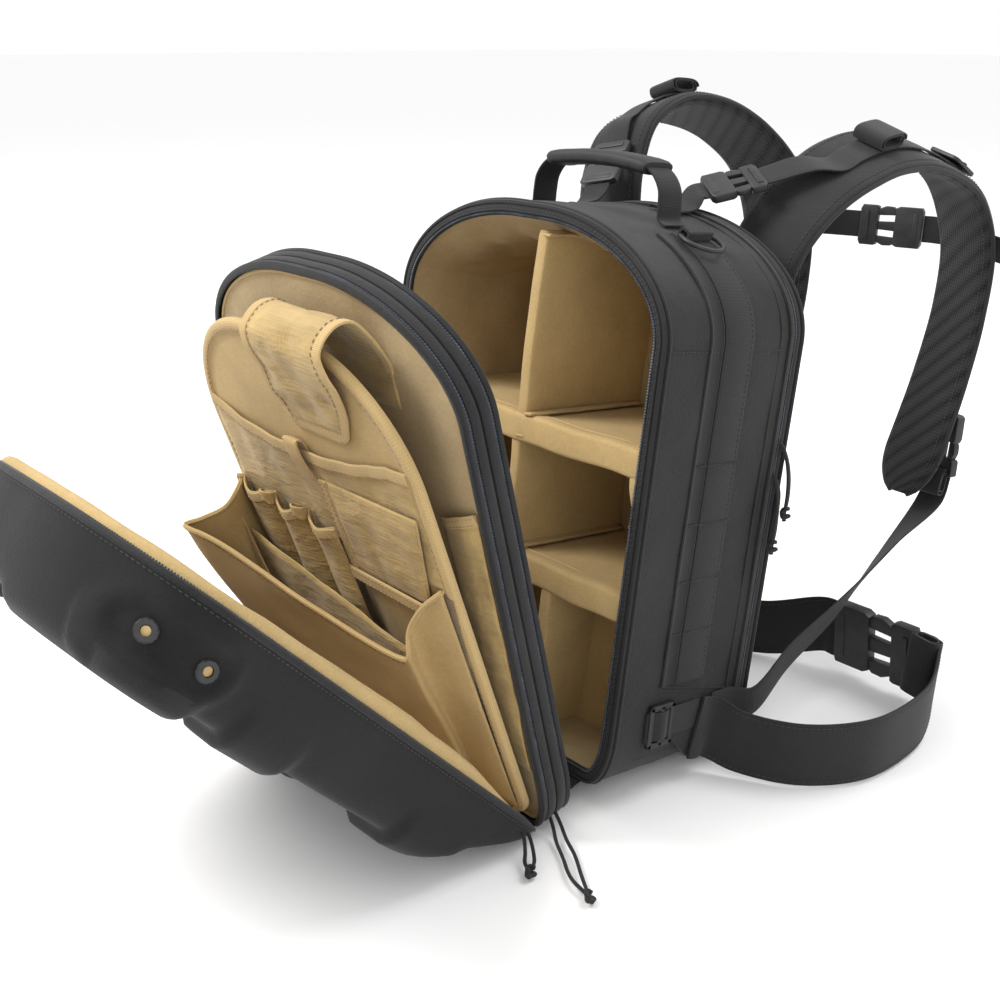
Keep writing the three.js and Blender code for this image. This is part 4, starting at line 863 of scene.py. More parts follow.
def addShelf(name, low, seed):
    thickness = 10
    half = halfWidthAt(body, 10.4, low + 5)
    rings = []
    for i in range(61):
        x = mix(-half, half, i / 60)
        end = min(1, (half - abs(x)) / 5) ** 0.5
        ring = []
        for a, o in oval(131, thickness + 4, 40, 0.2):
            y = 67.5 + a
            front = ease(y, 26, 4)
            puff = 1 + 0.75 * front + 0.1 * noise.noise(vec(x / 40, y / 30, seed))
            sag = 1.6 * noise.noise(vec(x / 55, y / 60, seed + 4))
            ring.append(vec(x, y + 1.5 * noise.noise(vec(x / 30, 0, seed + 9)) * front,
                                low + 5 - 2.6 * front + o * puff * (0.35 + 0.65 * end) + sag))
        rings.append(ring)
    piece = loft(name + "_pad", rings, smoothTan, capped=True, replaced=(name,))
    seam = []
    for i in range(51):
        x = mix(-half + 3, half - 3, i / 50)
        wave = 1.5 * noise.noise(vec(x / 30, 0, seed + 9))
        seam.append(vec(x, 17 + wave, low + 12.4 + 1.6 * noise.noise(vec(x / 55, 0, seed + 4))))
    tube(name + "_edge", seam, 0.8, smoothTan, 6)


def addUpright(name, x, low, high, footShift, front, back, seed, thickness=8.6, replaced=()):
    rings = []
    count = 44
    for i in range(count + 1):
        z = mix(low, high, i / count)
        middle = x - footShift * (high - z) / (high - low)
        end = min(1, (z - low + 1) / 5, (high - z + 1) / 5) ** 0.5
        ring = []
        for a, o in oval(back - front, thickness, 36, 0.22):
            y = (front + back) / 2 + a
            puff = 1 + 0.35 * max(0, 1 - (y - front) / 22)
            bend = 2.2 * noise.noise(vec(z / 50, y / 60, seed))
            ring.append(vec(middle + o * puff * (0.5 + 0.5 * end) + bend, y, z))
        rings.append(ring)
    piece = loft(name, rings, smoothTan, capped=True, replaced=replaced)
    return piece


def addDividers():
    addShelf("upper_shelf", 251, 1.3)
    addShelf("lower_shelf", 141, 5.9)
    addUpright("upper_divider_pad", 11, 262, 405, 9, 4, 133, 2.6, 9.6, ("upper_divider",))
    addUpright("middle_divider_pad", -2, 152, 250, 0, 4, 133, 6.1, 8.6, ("middle_divider",))
    addUpright("lower_divider_pad", 50, 11, 140, 9, 4, 64, 9.2, 8.6, ("lower_divider",))
    rings = []
    for i in range(31):
        z = mix(11, 139, i / 30)
        right = halfWidthAt(body, 11, z)
        left = 50 - 9 * (140 - z) / 129
        ring = []
        for a, o in oval(right - left, 8.4, 28, 0.25):
            y = 61 + o + 2.4 * noise.noise(vec(a / 30, z / 40, 3))
            ring.append(vec((left + right) / 2 + a, y, z))
        rings.append(ring)
    loft("lower_divider_leg", rings, smoothTan, capped=True)
    flanges = (("upper_divider_foot", 9, 264.5, 1, 2.2), ("upper_divider_head", 14, 403, -1, 5.1),
               ("middle_divider_head", 2.6, 247.5, -1, 7.7), ("middle_divider_foot", 2.2, 155, 1, 3.4))
    for name, x, z, lift, seed in flanges:
        def flange(u, v):
            wave = noise.noise(vec(u * 9, v * 2, seed))
            return vec(x + 7.5 * v + wave * 1.6, mix(1.5, 126, u), z + lift * (0.8 + 1.4 * wave * v))
        cloth(name, flange, 60, 5, 2.2, smoothTan)
    # Cloth tab on the right wall beside the upper shelf
    def tab(u, v):
        x = mix(137.6, 126, u) + 3 * math.sin(v * 5)
        return vec(x, 5 + 2 * math.sin(v * 7 + u), mix(209, 260, v) - 4 * u)
    cloth("side_tab", tab, 6, 16, 1.6, smoothTan)


print("body")
addBody()
addBodyZip()
addLining()
addSideWebbing()
addRings()
addHandle()
addDividers()


# Flap between the body and the shell
def flapRing(inset, w):
    return ringAt(body, inset, flapPlace, w)


def addFlap():
    back, depth = flap["back"], flap["depth"]
    ribs = [(5.2, 0.3), (3.4, 0.1), (1.4, 0.0), (0.1, 1.0), (0, 2.2), (0.7, 3.3), (2.6, 3.9), (3.0, 4.6),
            (3.0, 5.6), (2.4, 6.2), (0.5, 6.7), (0.1, 8.2), (0.1, 11), (0.7, 12.4), (2.9, 13.2), (3.1, 13.8),
            (2.9, 14.4), (0.7, 15.1), (0.1, 16.4), (0.1, 19.6), (0.5, 21.4), (2.4, 21.9), (3.0, 22.5),
            (3.0, 23.5), (2.6, 24.1), (0.7, 24.7), (0, 25.8), (0.1, 27), (1.4, 28), (3.4, 27.9), (5.2, 27.6)]
    loft("flap_band_cloth", [flapRing(inset, back + w) for inset, w in ribs], black, solid=1.0,
         replaced=("flap_band",))
    coil("flap_band_teeth", [flapRing(1.5, back + 5.1), flapRing(1.5, back + 23)], 1.25, 2.3, teethBlack)
    rows = [(5.6, 10.8), (5.4, 14), (5.4, 20), (5.6, 23), (8, 24.6), (14, 25)]
    rows += [(inset, 25.2) for inset in (24, 38, 54, 72, 92, 112, 130, 142)]
    for side, sign in (("front", 1), ("rear", -1)):
        rings = []
        for inset, w in rows:
            ring = []
            for x, s in outline(body, inset):
                w0 = w if sign > 0 else 36.2 - w
                folds = crinkle(vec(x * 1.6, s * 0.35, 0), 30, 1.7, 2.0 * sign) + crinkle(
                    vec(x, s, 0), 70, 1.5, 6.5)
                w0 += folds * min(1, max(inset - 6, 0) / 14) * sign
                ring.append(flapPlace(x, s, back + w0))
            rings.append(ring)
        if sign < 0:
            rings = rings[2:]
        loft(f"flap_panel_{side}", rings, tan, solid=0.9, replaced=("flap_panel",) if sign > 0 else ())
    tube("flap_panel_binding", spaced(flapRing(7, back + 24.8), 5, True), 1.5, bindingTan, 8, True,
         up=flapOut, flat=0.8)

    def pocket(u, v):
        s = mix(60, 262 + 14 * u, v)
        right = halfWidthAt(body, 9, s)
        w = 26.2 + (2.8 * math.sin(math.pi * u) + 0.6) * v + crinkle(vec(u * 90, s, 0), 22, 1.4, 3.3)
        return flapPlace(mix(100, right, u), s, back + w)
    piece = cloth("flap_pocket_cloth", pocket, 14, 40, 0.9, ripstop, replaced=("flap_pocket",))
    sheetFacts(piece, clothGrid(pocket, 14, 40))
    top = [pocket(i / 14, 0.985) + flapOut * 0.8 for i in range(15)]
    band("flap_pocket_hem", [(p, flapUp) for p in top], 8, 1.6, bindingTan, 24)
    lines = [[p + flapOut * 0.9 + flapUp * k for p in top] for k in (-3, 1.6)]
    stitches("flap_pocket_stitches", lines, threadTan, up=flapOut, radius=0.3)


def boardRing(inset, w):
    return ringAt(board, inset, boardPlace, w)


def addBoard():
    face = 5.8
    up, out = boardUp, boardOut
    rows = [(3, 0.6), (0.5, 1.2), (0, 3), (0.4, 5.2), (1.6, 6.6), (4.6, 6.9), (7.8, 6.4), (8.4, 5.6),
            (16, 5.5), (30, 5.6), (50, 5.7), (72, face), (96, face), (120, face)]
    rings = []
    for inset, w in rows:
        ring = []
        for x, s in outline(board, inset):
            wave = crinkle(vec(x, s, 0), 48, 0.8, 1.9) * min(1, max(inset - 7, 0) / 10)
            ring.append(boardPlace(x, s, w + wave))
        rings.append(ring)
    piece = loft("organiser_face", rings, (smoothTan, bindingTan), paint=lambda row, column: int(row < 7),
                 replaced=("organiser_board",), solid=0.8, sharp=60)
    loft("organiser_back", [boardRing(inset, 0.6) for inset in (3, 20, 60, 110)], tan, solid=0.6)
    stitches("board_binding_stitches", [boardRing(7, 7.0)], threadTan, up=out, length=3, space=2, radius=0.42)

    def tail(u, v):
        s = mix(4.6, 28, v)
        return boardPlace((u * 2 - 1) * 108, s, mix(0.7, 1.5, v) + 0.5 * math.sin(u * 30))
    cloth("board_tail", tail, 30, 4, 0.8, tan)
    first, second = face + 1.0, face + 2.7

    def topPocket(u, v):
        x = (u * 2 - 1) * 122
        s = mix(226, 322 - 16 * math.sin(math.pi * min(1, u * 1.1)) ** 0.8 - 4 * u, v)
        bulge = 3.6 * math.sin(math.pi * u) * max(0, v * 2 - 1) + crinkle(vec(x, s * 0.6, 0), 20, 1.5, 2.7)
        return boardPlace(x, s, first + bulge)
    piece = cloth("top_pocket_cloth", topPocket, 60, 24, 0.9, ripstop, replaced=("top_pocket",))
    sheetFacts(piece, clothGrid(topPocket, 60, 24))
    top = [topPocket(i / 60, 0.96) + out * 0.7 for i in range(61)]
    band("top_pocket_binding", [(p, up) for p in top], 9, 2.2, bindingTan, 120)
    stitches("top_pocket_stitches", [[p + out * 1.3 - up * 3.4 for p in top]], threadTan, up=out, radius=0.32)
    # Loop tab over the middle of the top pocket's edge
    tab = [(-4, 286, 5.2), (-4, 306, 8.4), (-4.5, 315, 7.4), (-5, 312, 2.6), (-5, 296, 0.6)]
    band("loop_tab", [(boardPlace(x, s, first + w), boardAcross) for x, s, w in tab], 17, 1.8, smoothTan, 24)

    # Pen slots: a cloth thrown into three bulges, with a folded pleat between them
    def pen(u, v):
        x = mix(-123, 11, u)
        bulges = abs(math.sin(math.pi * (u * 3 - 0.12))) ** 0.7
        s = mix(44, 252 - 5 * math.sin(math.pi * u * 3) ** 2 - 6 * u, v)
        w = 9.5 * bulges * (0.3 + 0.7 * v) + crinkle(vec(x, s * 0.4, 0), 14, 1.0, 5.5)
        return boardPlace(x, s, second + max(w, -0.3))
    piece = cloth("pen_pocket_cloth", pen, 80, 40, 0.9, ripstop, replaced=("pen_pocket",))
    sheetFacts(piece, clothGrid(pen, 80, 40))
    top = [pen(i / 80, 0.975) + out * 0.5 for i in range(81)]
    band("pen_pocket_binding", [(p, up) for p in top], 8, 2.0, bindingTan, 160)
    stitches("pen_pocket_stitches", [[p + out * 1.2 - up * 3 for p in top]], threadTan, up=out, radius=0.32)
    for k, x in enumerate((-76, -33)):
        loop = [(-4, 243, 3), (-4.5, 248, 8), (1, 250, 11), (6, 248, 8.5), (5, 244, 3)]
        band(f"pen_pleat_{k}", [(boardPlace(x + across, s, second + w), up) for across, s, w in loop], 9, 1.8,
             bindingTan, 24)

    def zipPocket(u, v):
        s = mix(206, 284, v)
        x = mix(13, mix(100, 120, v), u)
        rim = min(1, min(u, 1 - u) * 8, min(v, 1 - v) * 5)
        return boardPlace(x, s, second + 2.2 * rim + 1.2 * v + crinkle(vec(x, s, 0), 18, 1.9, 8.5) * rim)
    piece = cloth("zip_pocket_cloth", zipPocket, 40, 32, 0.9, ripstop, replaced=("zip_pocket",))
    sheetFacts(piece, clothGrid(zipPocket, 40, 32))
    side = [zipPocket(0.0, i / 24) + out for i in range(25)]
    band("zip_pocket_binding", [(p, boardAcross) for p in side], 9, 2.2, bindingTan, 40)
    low = [boardPlace(mix(-18, 100, i / 24), mix(207, 204, i / 24), second + 3.6) for i in range(25)]
    band("zip_pocket_flap", [(p, up) for p in low], 10, 2.4, bindingTan, 40)
    far = [zipPocket(0.98, i / 24) + out * 0.6 for i in range(25)]
    edges = [[p + boardAcross * across + out * 1.2 for p in side] for across in (2.6, -2.6)]
    hems = [[p + out * 1.4 + up * along for p in low] for along in (-3.6, 3.6)]
    stitches("zip_pocket_stitches", [*edges, far, *hems], threadTan, up=out, radius=0.32)
    # Brown elastic down the right edge
    strip = [(boardPlace(mix(122, 108, v) - 3 * math.sin(v * 3.1), mix(222, 24, v), face + 1.6), boardAcross)
             for v in [i / 16 for i in range(17)]]
    band("elastic_strip", strip, 12, 1.6, brown, 60)
    return first


def addBellows(first):
    up, out = boardUp, boardOut
    rows = [(-0.95, 0.14, 1.03), (-0.88, 0.3, 1.02), (-0.84, 0.52, 1.0), (-0.9, 0.76, 0.99),
            (-0.96, 0.96, 0.985), (-0.8, 0.93, 0.975), (-0.5, 0.86, 0.93), (0, 0.74, 0.85), (0.4, 0.62, 0.77),
            (0.62, 0.54, 0.735), (0.7, 0.5, 0.73), (0.68, 0.36, 0.8), (0.76, 0.24, 0.87), (0.94, 0.14, 0.95)]
    points = [Vector(row) for row in rows]

    def place(u, v):
        across, share, high = curvePoint(points, u)
        s = mix(28, 242 * high, v)
        w = mix(first + 0.8, share * 70, v ** 0.6)
        p = vec(u * 240, s * 0.6, 0)
        return boardPlace(across * 129, s, w + crinkle(p, 24, 2.4, 1.1) * v * min(1, u * 8, (1 - u) * 8))
    piece = cloth("bellows_cloth", place, 110, 34, 1.3, smoothTan, replaced=("bellows_pocket",),
                  slot="ripstop")
    sheetFacts(piece, clothGrid(place, 110, 34))
    top = [place(i / 110, 0.99) for i in range(111)]
    tube("bellows_edge", top, 2.0, bindingTan, 8, up=out)
    line = [place(0.38 + 0.4 * i / 60, 0.965) + out * 1.2 for i in range(61)]
    stitches("bellows_stitches", [line], threadTan, up=out)

    # Second layer of the inner gusset, brown in the shade, and its thin orange ribbon
    def inside(u, v):
        return boardPlace(mix(-112, 84, u), mix(40, 214 - 40 * u, v), first + 13 + 6 * v + crinkle(
            vec(u * 200, v * 90, 0), 30, 2, 4))
    cloth("bellows_inner", inside, 30, 14, 0.8, ripstop)
    ribbon = [(boardPlace(mix(-118, -62, v), mix(236, 96, v), 26 + 7 * math.sin(v * 2.4)), up.cross(out))
              for v in [i / 12 for i in range(13)]]
    band("inner_ribbon", ribbon, 8, 1.2, bindingTan, 30)


def addClosure():
    out = boardOut
    top = 396
    route = [flapPlace(0, top - 58, flap["back"] + 26.3), flapPlace(0, top - 22, flap["back"] + 28.3),
             boardPlace(0, top + 10, -14), boardPlace(0, top + 14, 0), boardPlace(0, top + 4, 15.8),
             boardPlace(0, top - 25, 13.8), boardPlace(0, top - 50, 9.8), boardPlace(0, top - 72, 7.4)]

    def edges(v):
        left, right = -10.0, 83 - 14 * max(0, (v - 0.72) / 0.2) ** 1.4
        if v > 0.8:
            left += 13 * ((v - 0.8) / 0.2) ** 1.6
        if v > 0.93:
            left += 8 * ((v - 0.93) / 0.07) ** 3
            right -= 18 * ((v - 0.93) / 0.07) ** 3
        return left, right

    def place(u, v):
        p = curvePoint(route, v)
        left, right = edges(v)
        p.x = mix(left, right, u)
        q = vec(p.x, v * 190, 0)
        lift = crinkle(q, 22, 2.4, 3.9) + crinkle(q, 9, 0.7, 1.4)
        return p + out * lift * min(1, u * 6 + 0.3, (1 - u) * 6 + 0.3) * (0.3 if v < 0.1 or v > 0.9 else 1)
    piece = cloth("closure_cloth", place, 36, 84, 1.1, ripstop, replaced=("closure_flap",))
    sheetFacts(piece, clothGrid(place, 36, 84))
    # Hem binding all along the free edge, and its stitch line
    hem = [(place(0.03, v / 80), place(1, v / 80) - place(0, v / 80)) for v in range(8, 79)]
    fall = curvePoint(route, 0.97) - curvePoint(route, 0.94)
    foot = [(place(0.03 + 0.94 * u / 20, 0.975), fall) for u in range(21)]
    back = [(place(0.97, v / 80), place(1, v / 80) - place(0, v / 80)) for v in range(78, 7, -1)]
    for name, rows in (("left", hem), ("foot", foot), ("right", back)):
        band(f"closure_hem_{name}", [(p, side.normalized()) for p, side in rows], 8, 2.2, bindingTan, 80)
    places = [0.08 + 0.88 * i / 90 for i in range(91)]
    lines = [[place(u, v) + curveNormal(route, v) * 1.2 for v in places] for u in (0.085, 0.915)]
    lines.append([place(0.1 + 0.8 * i / 30, 0.945) + out * 1.2 for i in range(31)])
    stitches("closure_stitches", lines, threadTan, up=vec(1, 0.1, 0), length=3, radius=0.42)


def curveNormal(route, t):
    tangent = (curvePoint(route, min(t + 0.01, 1)) - curvePoint(route, max(t - 0.01, 0))).normalized()
    return vec(1, 0, 0).cross(tangent).normalized() * -1


print("flap and organiser")
addFlap()
addBellows(addBoard())
addClosure()


# Hard shell
shellPads = ((0.42, 0.925, 0.3, 0.05), (0.7, 0.84, 0.24, 0.07), (0.76, 0.645, 0.2, 0.07),
             (0.74, 0.24, 0.22, 0.085), (0, 0.5, 0.28, 0.2))
recess = {"low": 343, "high": 381, "depth": 31, "radius": 14, "sunk": 2.9, "rim": 1.5, "from": 90}


def padShare(x, s):
    share = 0
    for across, along, halfAcross, halfAlong in shellPads:
        dx = abs(abs(x) / (body["width"] / 2) - across) / halfAcross
        ds = abs(s / body["height"] - along) / halfAlong
        share = max(share, ease(1 - dx, -0.05, 0.24) * ease(1 - ds, -0.08, 0.3))
    return share


def shellDepthAt(x, s, inset):
    share = min(inset / shell["edge"], 1)
    side = shell["depth"] * (1 - (1 - share) ** 4.2)
    ramp = shell["depth"] * max(s, 0) / shell["ramp"]
    low = side + ramp - math.sqrt((side - ramp) ** 2 + 60)
    return max(low / 2 + 1.2 * share, 0) + shell["pad"] * padShare(x, s) * share


def sideBulge(x, s, depth):
    if abs(x) < recess["from"]:
        return 0
    near = max(ease(1 - abs(s / body["height"] - along) / halfAlong, -0.08, 0.3)
               for across, along, halfAcross, halfAlong in shellPads[:4])
    reach = s - min(max(s, recess["low"]), recess["high"])
    away = math.hypot(reach, depth - recess["depth"])
    inside = ease(away, recess["radius"] + 2.5, recess["radius"] - 2.5)
    rim = math.exp(-((away - recess["radius"] - 5) / 4) ** 2)
    return 2.6 * near * ease(depth, 30, 50) * (1 - inside) + rim * recess["rim"] - inside * recess["sunk"]


def shellRing(inset, thickness):
    outer, inner = (outline(body, value, 14, 96, 60) for value in (inset, inset + thickness))
    ring = []
    for i, ((x, s), (xi, si)) in enumerate(zip(outer, inner)):
        depth = max(shellDepthAt(x, s, inset) - thickness, 0)
        depth += crinkle(vec(x, s, depth), 70, 0.9, 2.4) * min(1, depth / 15)
        (x0, s0), (x1, s1) = outer[i - 1], outer[(i + 1) % len(outer)]
        out = vec(s1 - s0, x0 - x1).normalized() * sideBulge(x, s, depth) * ease(inset, 40, 12)
        ring.append(shellPlace(xi + out.x, si + out.y, max(depth, 0)))
    return ring


def addShell():
    insets = [0, 0.7, 1.4, 2.1, 2.8, 3.6, 4.4, 5.4, 6.6, 8, 9.6, 11.5, 13.5, 16, 18.5, 21, *range(24, 139, 3)]
    loft("shell_cover", [shellRing(inset, 0) for inset in insets], shellBlack, capped="end",
         replaced=("hard_shell",), sharp=60)

    # Zip tape, teeth and stitches on the rim
    def rim(inset, lift):
        found = []
        for x, s in outline(body, inset):
            height = mix(0.25, 1, min(1, max(0, (s - 8) / 30)))
            found.append(shellPlace(x, s, -gap - lift * height))
        return found
    profile = [(0.2, -1.8), (-0.6, -0.4), (-0.2, 1.4), (1, 2.2), (1.8, 1.5), (4.6, 1.5), (4.7, 0.1)]
    loft("shell_zip_tape", [rim(inset, lift) for inset, lift in profile], black, solid=0.7,
         replaced=("shell_zip_band",))
    coil("shell_zip_teeth", [rim(3.3, 2.4)], 1.15, 2.1, teethBlack)
    stitches("shell_rim_stitches", [rim(-0.9, -3.6)], threadBlack, radius=0.3)

    # Tan lining with its rolled lip
    def lip(inset, share):
        found = []
        for x, s in outline(body, 5.2 + inset):
            shareUp = min(1, max(0.1, (s - 20) / 90))
            height = mix(9, 13, min(1, max(0, 1 - abs(s - 190) / 160))) * shareUp
            roll = 1 + 0.07 * noise.noise(vec(x / 25, s / 25, 3))
            found.append(shellPlace(x, s, -height * share * roll))
        return found
    rows = [lip(*pair) for pair in ((0, -0.3), (-0.1, 0.4), (0.5, 0.78), (2, 1.0), (4.4, 1.08), (7, 1.0),
                                    (9, 0.76), (10, 0.4), (10.2, 0))]
    for inset in (12, 14, 17, 21, 26, 33, 42, 54, 68, 84, 102, 120):
        ring = []
        for x, s in outline(body, inset + 7):
            depth = max(shellDepthAt(x, s, inset) - 9, 0)
            ring.append(shellPlace(x, s, depth - 1.5 * abs(crinkle(vec(x, s, 0), 40, 1.6, 7.7))))
        rows.append(ring)
    loft("shell_lining_cloth", rows, smoothTan, solid=0.8, replaced=("shell_lining",))
    # Brass-coloured centres of the eyelets, square to the wall that holds them
    half = halfOutline(body, 0)
    for side, sign in (("right", 1), ("left", -1)):
        for level, along in (("lower", recess["low"]), ("upper", recess["high"])):
            points = nodePoints(f"eyelet_{side}_{level}")
            middle = sum(points, Vector()) / len(points)
            (x0, s0), (x1, s1) = next((p, q) for p, q in zip(half, half[1:]) if q[1] >= along > p[1])
            out = shellPlace(sign * (s1 - s0), x0 - x1, 0) - shellPlace(0, 0, 0)
            turn = frameAt(middle - out.normalized() * 0.6, vec(0, 0.4, 1), out)
            bm = bmesh.new()
            bmesh.ops.create_cone(bm, cap_ends=True, segments=24, radius1=3.3, radius2=3.0, depth=2.2)
            for vert in bm.verts:
                vert.co = bag(turn @ vert.co)
            finishPiece(f"eyelet_core_{side}_{level}", bm, brass)


print("shell")
addShell()


# Harness
rightRoute = ((0.84, 0.0, 0.81, 0, 0), (0.86, 0.012, 0.91, 0, 0), (0.93, 0.1, 1.02, 12, 0),
              (1.0, 0.25, 1.1, 20, 0), (1.0, 0.45, 1.137, 20, 0), (1.0, 0.65, 1.123, 16, 8),
              (1.0, 0.83, 1.066, 8, 16), (1.0, 0.94, 0.955, 0, 20), (0.99, 0.957, 0.814, 0, 20),
              (0.97, 0.927, 0.672, 0, 18), (0.95, 0.877, 0.542, 0, 16), (0.93, 0.817, 0.41, 0, 14))
leftRoute = ((0.9, 0.0, 0.81, 0, 0), (0.94, 0.01, 0.93, 0, 0), (1.02, 0.03, 1.05, 8, 0),
             (1.06, 0.09, 1.14, 14, 0), (1.07, 0.22, 1.187, 18, 0), (1.07, 0.4, 1.187, 18, 0),
             (1.07, 0.58, 1.15, 14, 6),
             (1.05, 0.74, 1.075, 8, 12), (1.0, 0.82, 0.955, 0, 14), (0.95, 0.82, 0.82, 0, 14),
             (0.92, 0.79, 0.68, 0, 12), (0.9, 0.75, 0.55, 0, 12), (0.88, 0.71, 0.42, 0, 10))
strap = {"width": 70, "thickness": 12, "stations": 30, "face": 163, "spread": 95, "reach": 300}
narrow = {"width": 25, "thickness": 2}


def narrowBand(name, rows, count, replaced):
    band(name, rows, narrow["width"], narrow["thickness"], webbing, count, replaced=(replaced,))


def strapRows(route, sign):
    start = strap["face"] + gap + strap["thickness"] / 2
    rows = []
    for across, reach, height, roll, turn in route:
        r, t = roll * degree, turn * degree
        point = vec(sign * across * strap["spread"], start + reach * strap["reach"], height * body["height"])
        rows.append((point, vec(math.cos(r) * math.cos(t), -sign * math.sin(t), -sign * math.sin(r))))
    return rows


def strapWidthAt(t):
    return strap["width"] * (math.sqrt(max(0.1, 1 - ((t - 0.93) / 0.074) ** 2)) if t > 0.93 else 1)


def mirrored(points):
    return [*points, *[(x, -y) for x, y in reversed(points)]]


def buckle(name, start, end, face, width, thickness):
    length = (end - start).length
    toBag = frameAt((start + end) / 2, end - start, face)
    x, y = length / 2, width / 2
    bm = bmesh.new()
    female = mirrored([(-x, -y * 0.8), (-x + 2, -y), (-x * 0.25, -y), (-x * 0.12, -y * 0.9)])
    plate(bm, female, thickness, 1.2, toBag)
    male = mirrored([(x * 0.42, -y * 0.94), (x * 0.5, -y), (x - 2, -y), (x, -y * 0.8)])
    plate(bm, male, thickness * 0.86, 1.1, toBag)
    for sign in (-1, 1):
        prong = [(-x * 0.16, sign * y * 0.55), (x * 0.46, sign * y * 0.5), (x * 0.46, sign * y * 0.8),
                 (x * 0.2, sign * y * 0.98), (-x * 0.04, sign * y * 0.96), (-x * 0.16, sign * y * 0.82)]
        plate(bm, prong if sign > 0 else prong[::-1], thickness * 0.66, 0.9, toBag)
    plate(bm, mirrored([(-x * 0.16, -y * 0.24), (x * 0.46, -y * 0.2)]), thickness * 0.6, 0.8, toBag)
    for place in (-x * 0.78, x * 0.78):
        bar = mirrored([(place - 2.2, -y * 0.7), (place + 2.2, -y * 0.7)])
        plate(bm, bar, thickness * 1.12, 0.6, toBag)
    finishPiece(name + "_parts", bm, plastic, replaced=(name,))


def spiral(frameOf, length, height, turns, count):
    rows = []
    for i in range(count + 1):
        turn = 2 * math.pi * turns * i / count
        shrink = 1 - 0.42 * i / count
        along = rounded(math.cos(turn), 0.6) * length / 2 * shrink
        out = height / 2 + rounded(math.sin(turn), 0.7) * height / 2 * shrink
        rows.append((offsetAlong(frameOf, along, out), frameOf["side"]))
    return rows


def offsetAlong(f, along, out):
    return f["point"] + f["tangent"] * along + f["normal"] * out


def addStraps():
    ends = {}
    for side, sign, route, anchor in (("right", 1, rightRoute, {"x": 36, "meet": 0.25, "fold": 0.33}),
                                      ("left", -1, leftRoute, {"x": 78, "meet": 0.26, "fold": 0.36})):
        fine = ribbonFrames(strapRows(route, sign), 120)
        frames = fine[::4]
        count = 24

        def section(f):
            thickness = strap["thickness"] * (1 + 0.06 * noise.noise(f["point"] / 30))
            return oval(strapWidthAt(f["t"]), thickness, count, 0.5)
        piece = loft(f"shoulder_pad_{side}", sweepRings(fine, section), (black, mesh), capped=True,
                     paint=lambda row, column: 1 if column >= count // 2 else 0,
                     replaced=(f"shoulder_strap_{side}",), slot="mesh")
        for k, edge in enumerate((-1, 1)):
            line = [offsetFrom(f, edge * (strapWidthAt(f["t"]) / 2 - 0.6), 0) for f in fine]
            tube(f"strap_binding_{side}_{k}", spaced(line, 5), 2.4, webbing, 8,
                 up=vec(0.2, 0.3, 0.93), slot="nylon")
        lines = [[offsetFrom(f, edge * (strapWidthAt(f["t"]) / 2 - 6), out) for f in fine]
                 for edge in (-1, 1) for out in (5.6, -5.6)]
        stitches(f"strap_stitches_{side}", lines, threadBlack, up=vec(1, 0.1, 0), length=3, radius=0.35)

        def frameNear(t, frames=frames):
            return frames[round(t * strap["stations"])]
        ride = strap["thickness"] / 2 + 2.2
        slope = math.atan2(surfaceZ(anchor["x"] - 10) - surfaceZ(anchor["x"] + 10), 20)
        level = vec(math.cos(slope), 0, -sign * math.sin(slope))
        rest = surfaceZ(anchor["x"]) + gap + 2

        def anchorAt(along, lift):
            return vec(sign * anchor["x"], body["depth"] * along, rest + lift)
        foot = anchorAt(0.93, 13)
        landing = offsetFrom(frameNear(anchor["meet"]), 0, ride + 3)
        climb = (landing - foot).normalized()
        low = foot + climb * 8
        high = low + climb * 46
        buckle(f"lifter_buckle_{side}", low, high, vec(0, -1, 1), 36, 7)
        across = climb.cross(vec(0, -1, 1)).normalized()
        across *= math.copysign(1, across.x)
        rows = [(anchorAt(0.68, 0), level), (anchorAt(0.78, 0), level),
                (anchorAt(0.87, 4), (level + across).normalized()), (foot, across),
                (low - climb * 0.6, across)]
        narrowBand(f"lifter_anchor_{side}_web", rows, 24, f"lifter_anchor_{side}")
        lying = [f for f in fine if anchor["meet"] < f["t"] < 0.62]
        rows = [(high + climb * 0.6, across),
                (high.lerp(offsetFrom(lying[0], 0, ride + 8), 0.6), across.lerp(lying[0]["side"], 0.7))]
        rows += [(offsetFrom(f, 0, ride + 0.4 * math.sin(f["t"] * 40)), f["side"]) for f in lying[::3]]
        narrowBand(f"strap_web_{side}", rows, 90, f"strap_webbing_{side}")
        roll = dict(frameNear(anchor["fold"]))
        roll["point"] = offsetFrom(roll, 0, ride + 1)
        band(f"strap_roll_{side}", spiral(roll, 36, 13, 2.1, 60), 29, 1.9, webbing, 90)
        clip = dict(frameNear(anchor["fold"] + 0.16))
        clip["point"] = offsetFrom(clip, 0, ride + 4.5)
        bm = bmesh.new()
        toBag = frameAt(clip["point"], clip["tangent"], clip["normal"])
        plate(bm, roundedLoop(36, 32, 5), 3.6, 1, toBag)
        for place in (-9, 0, 9):
            plate(bm, roundedLoop(4.4, 29, 1.5, 3), 6.4, 0.8, toBag)
        finishPiece(f"strap_clip_{side}", bm, plastic)
        chest = frameNear(0.645 if side == "right" else 0.68)
        ends[side] = {"chest": chest, "ride": ride, "frameNear": frameNear}
    return ends


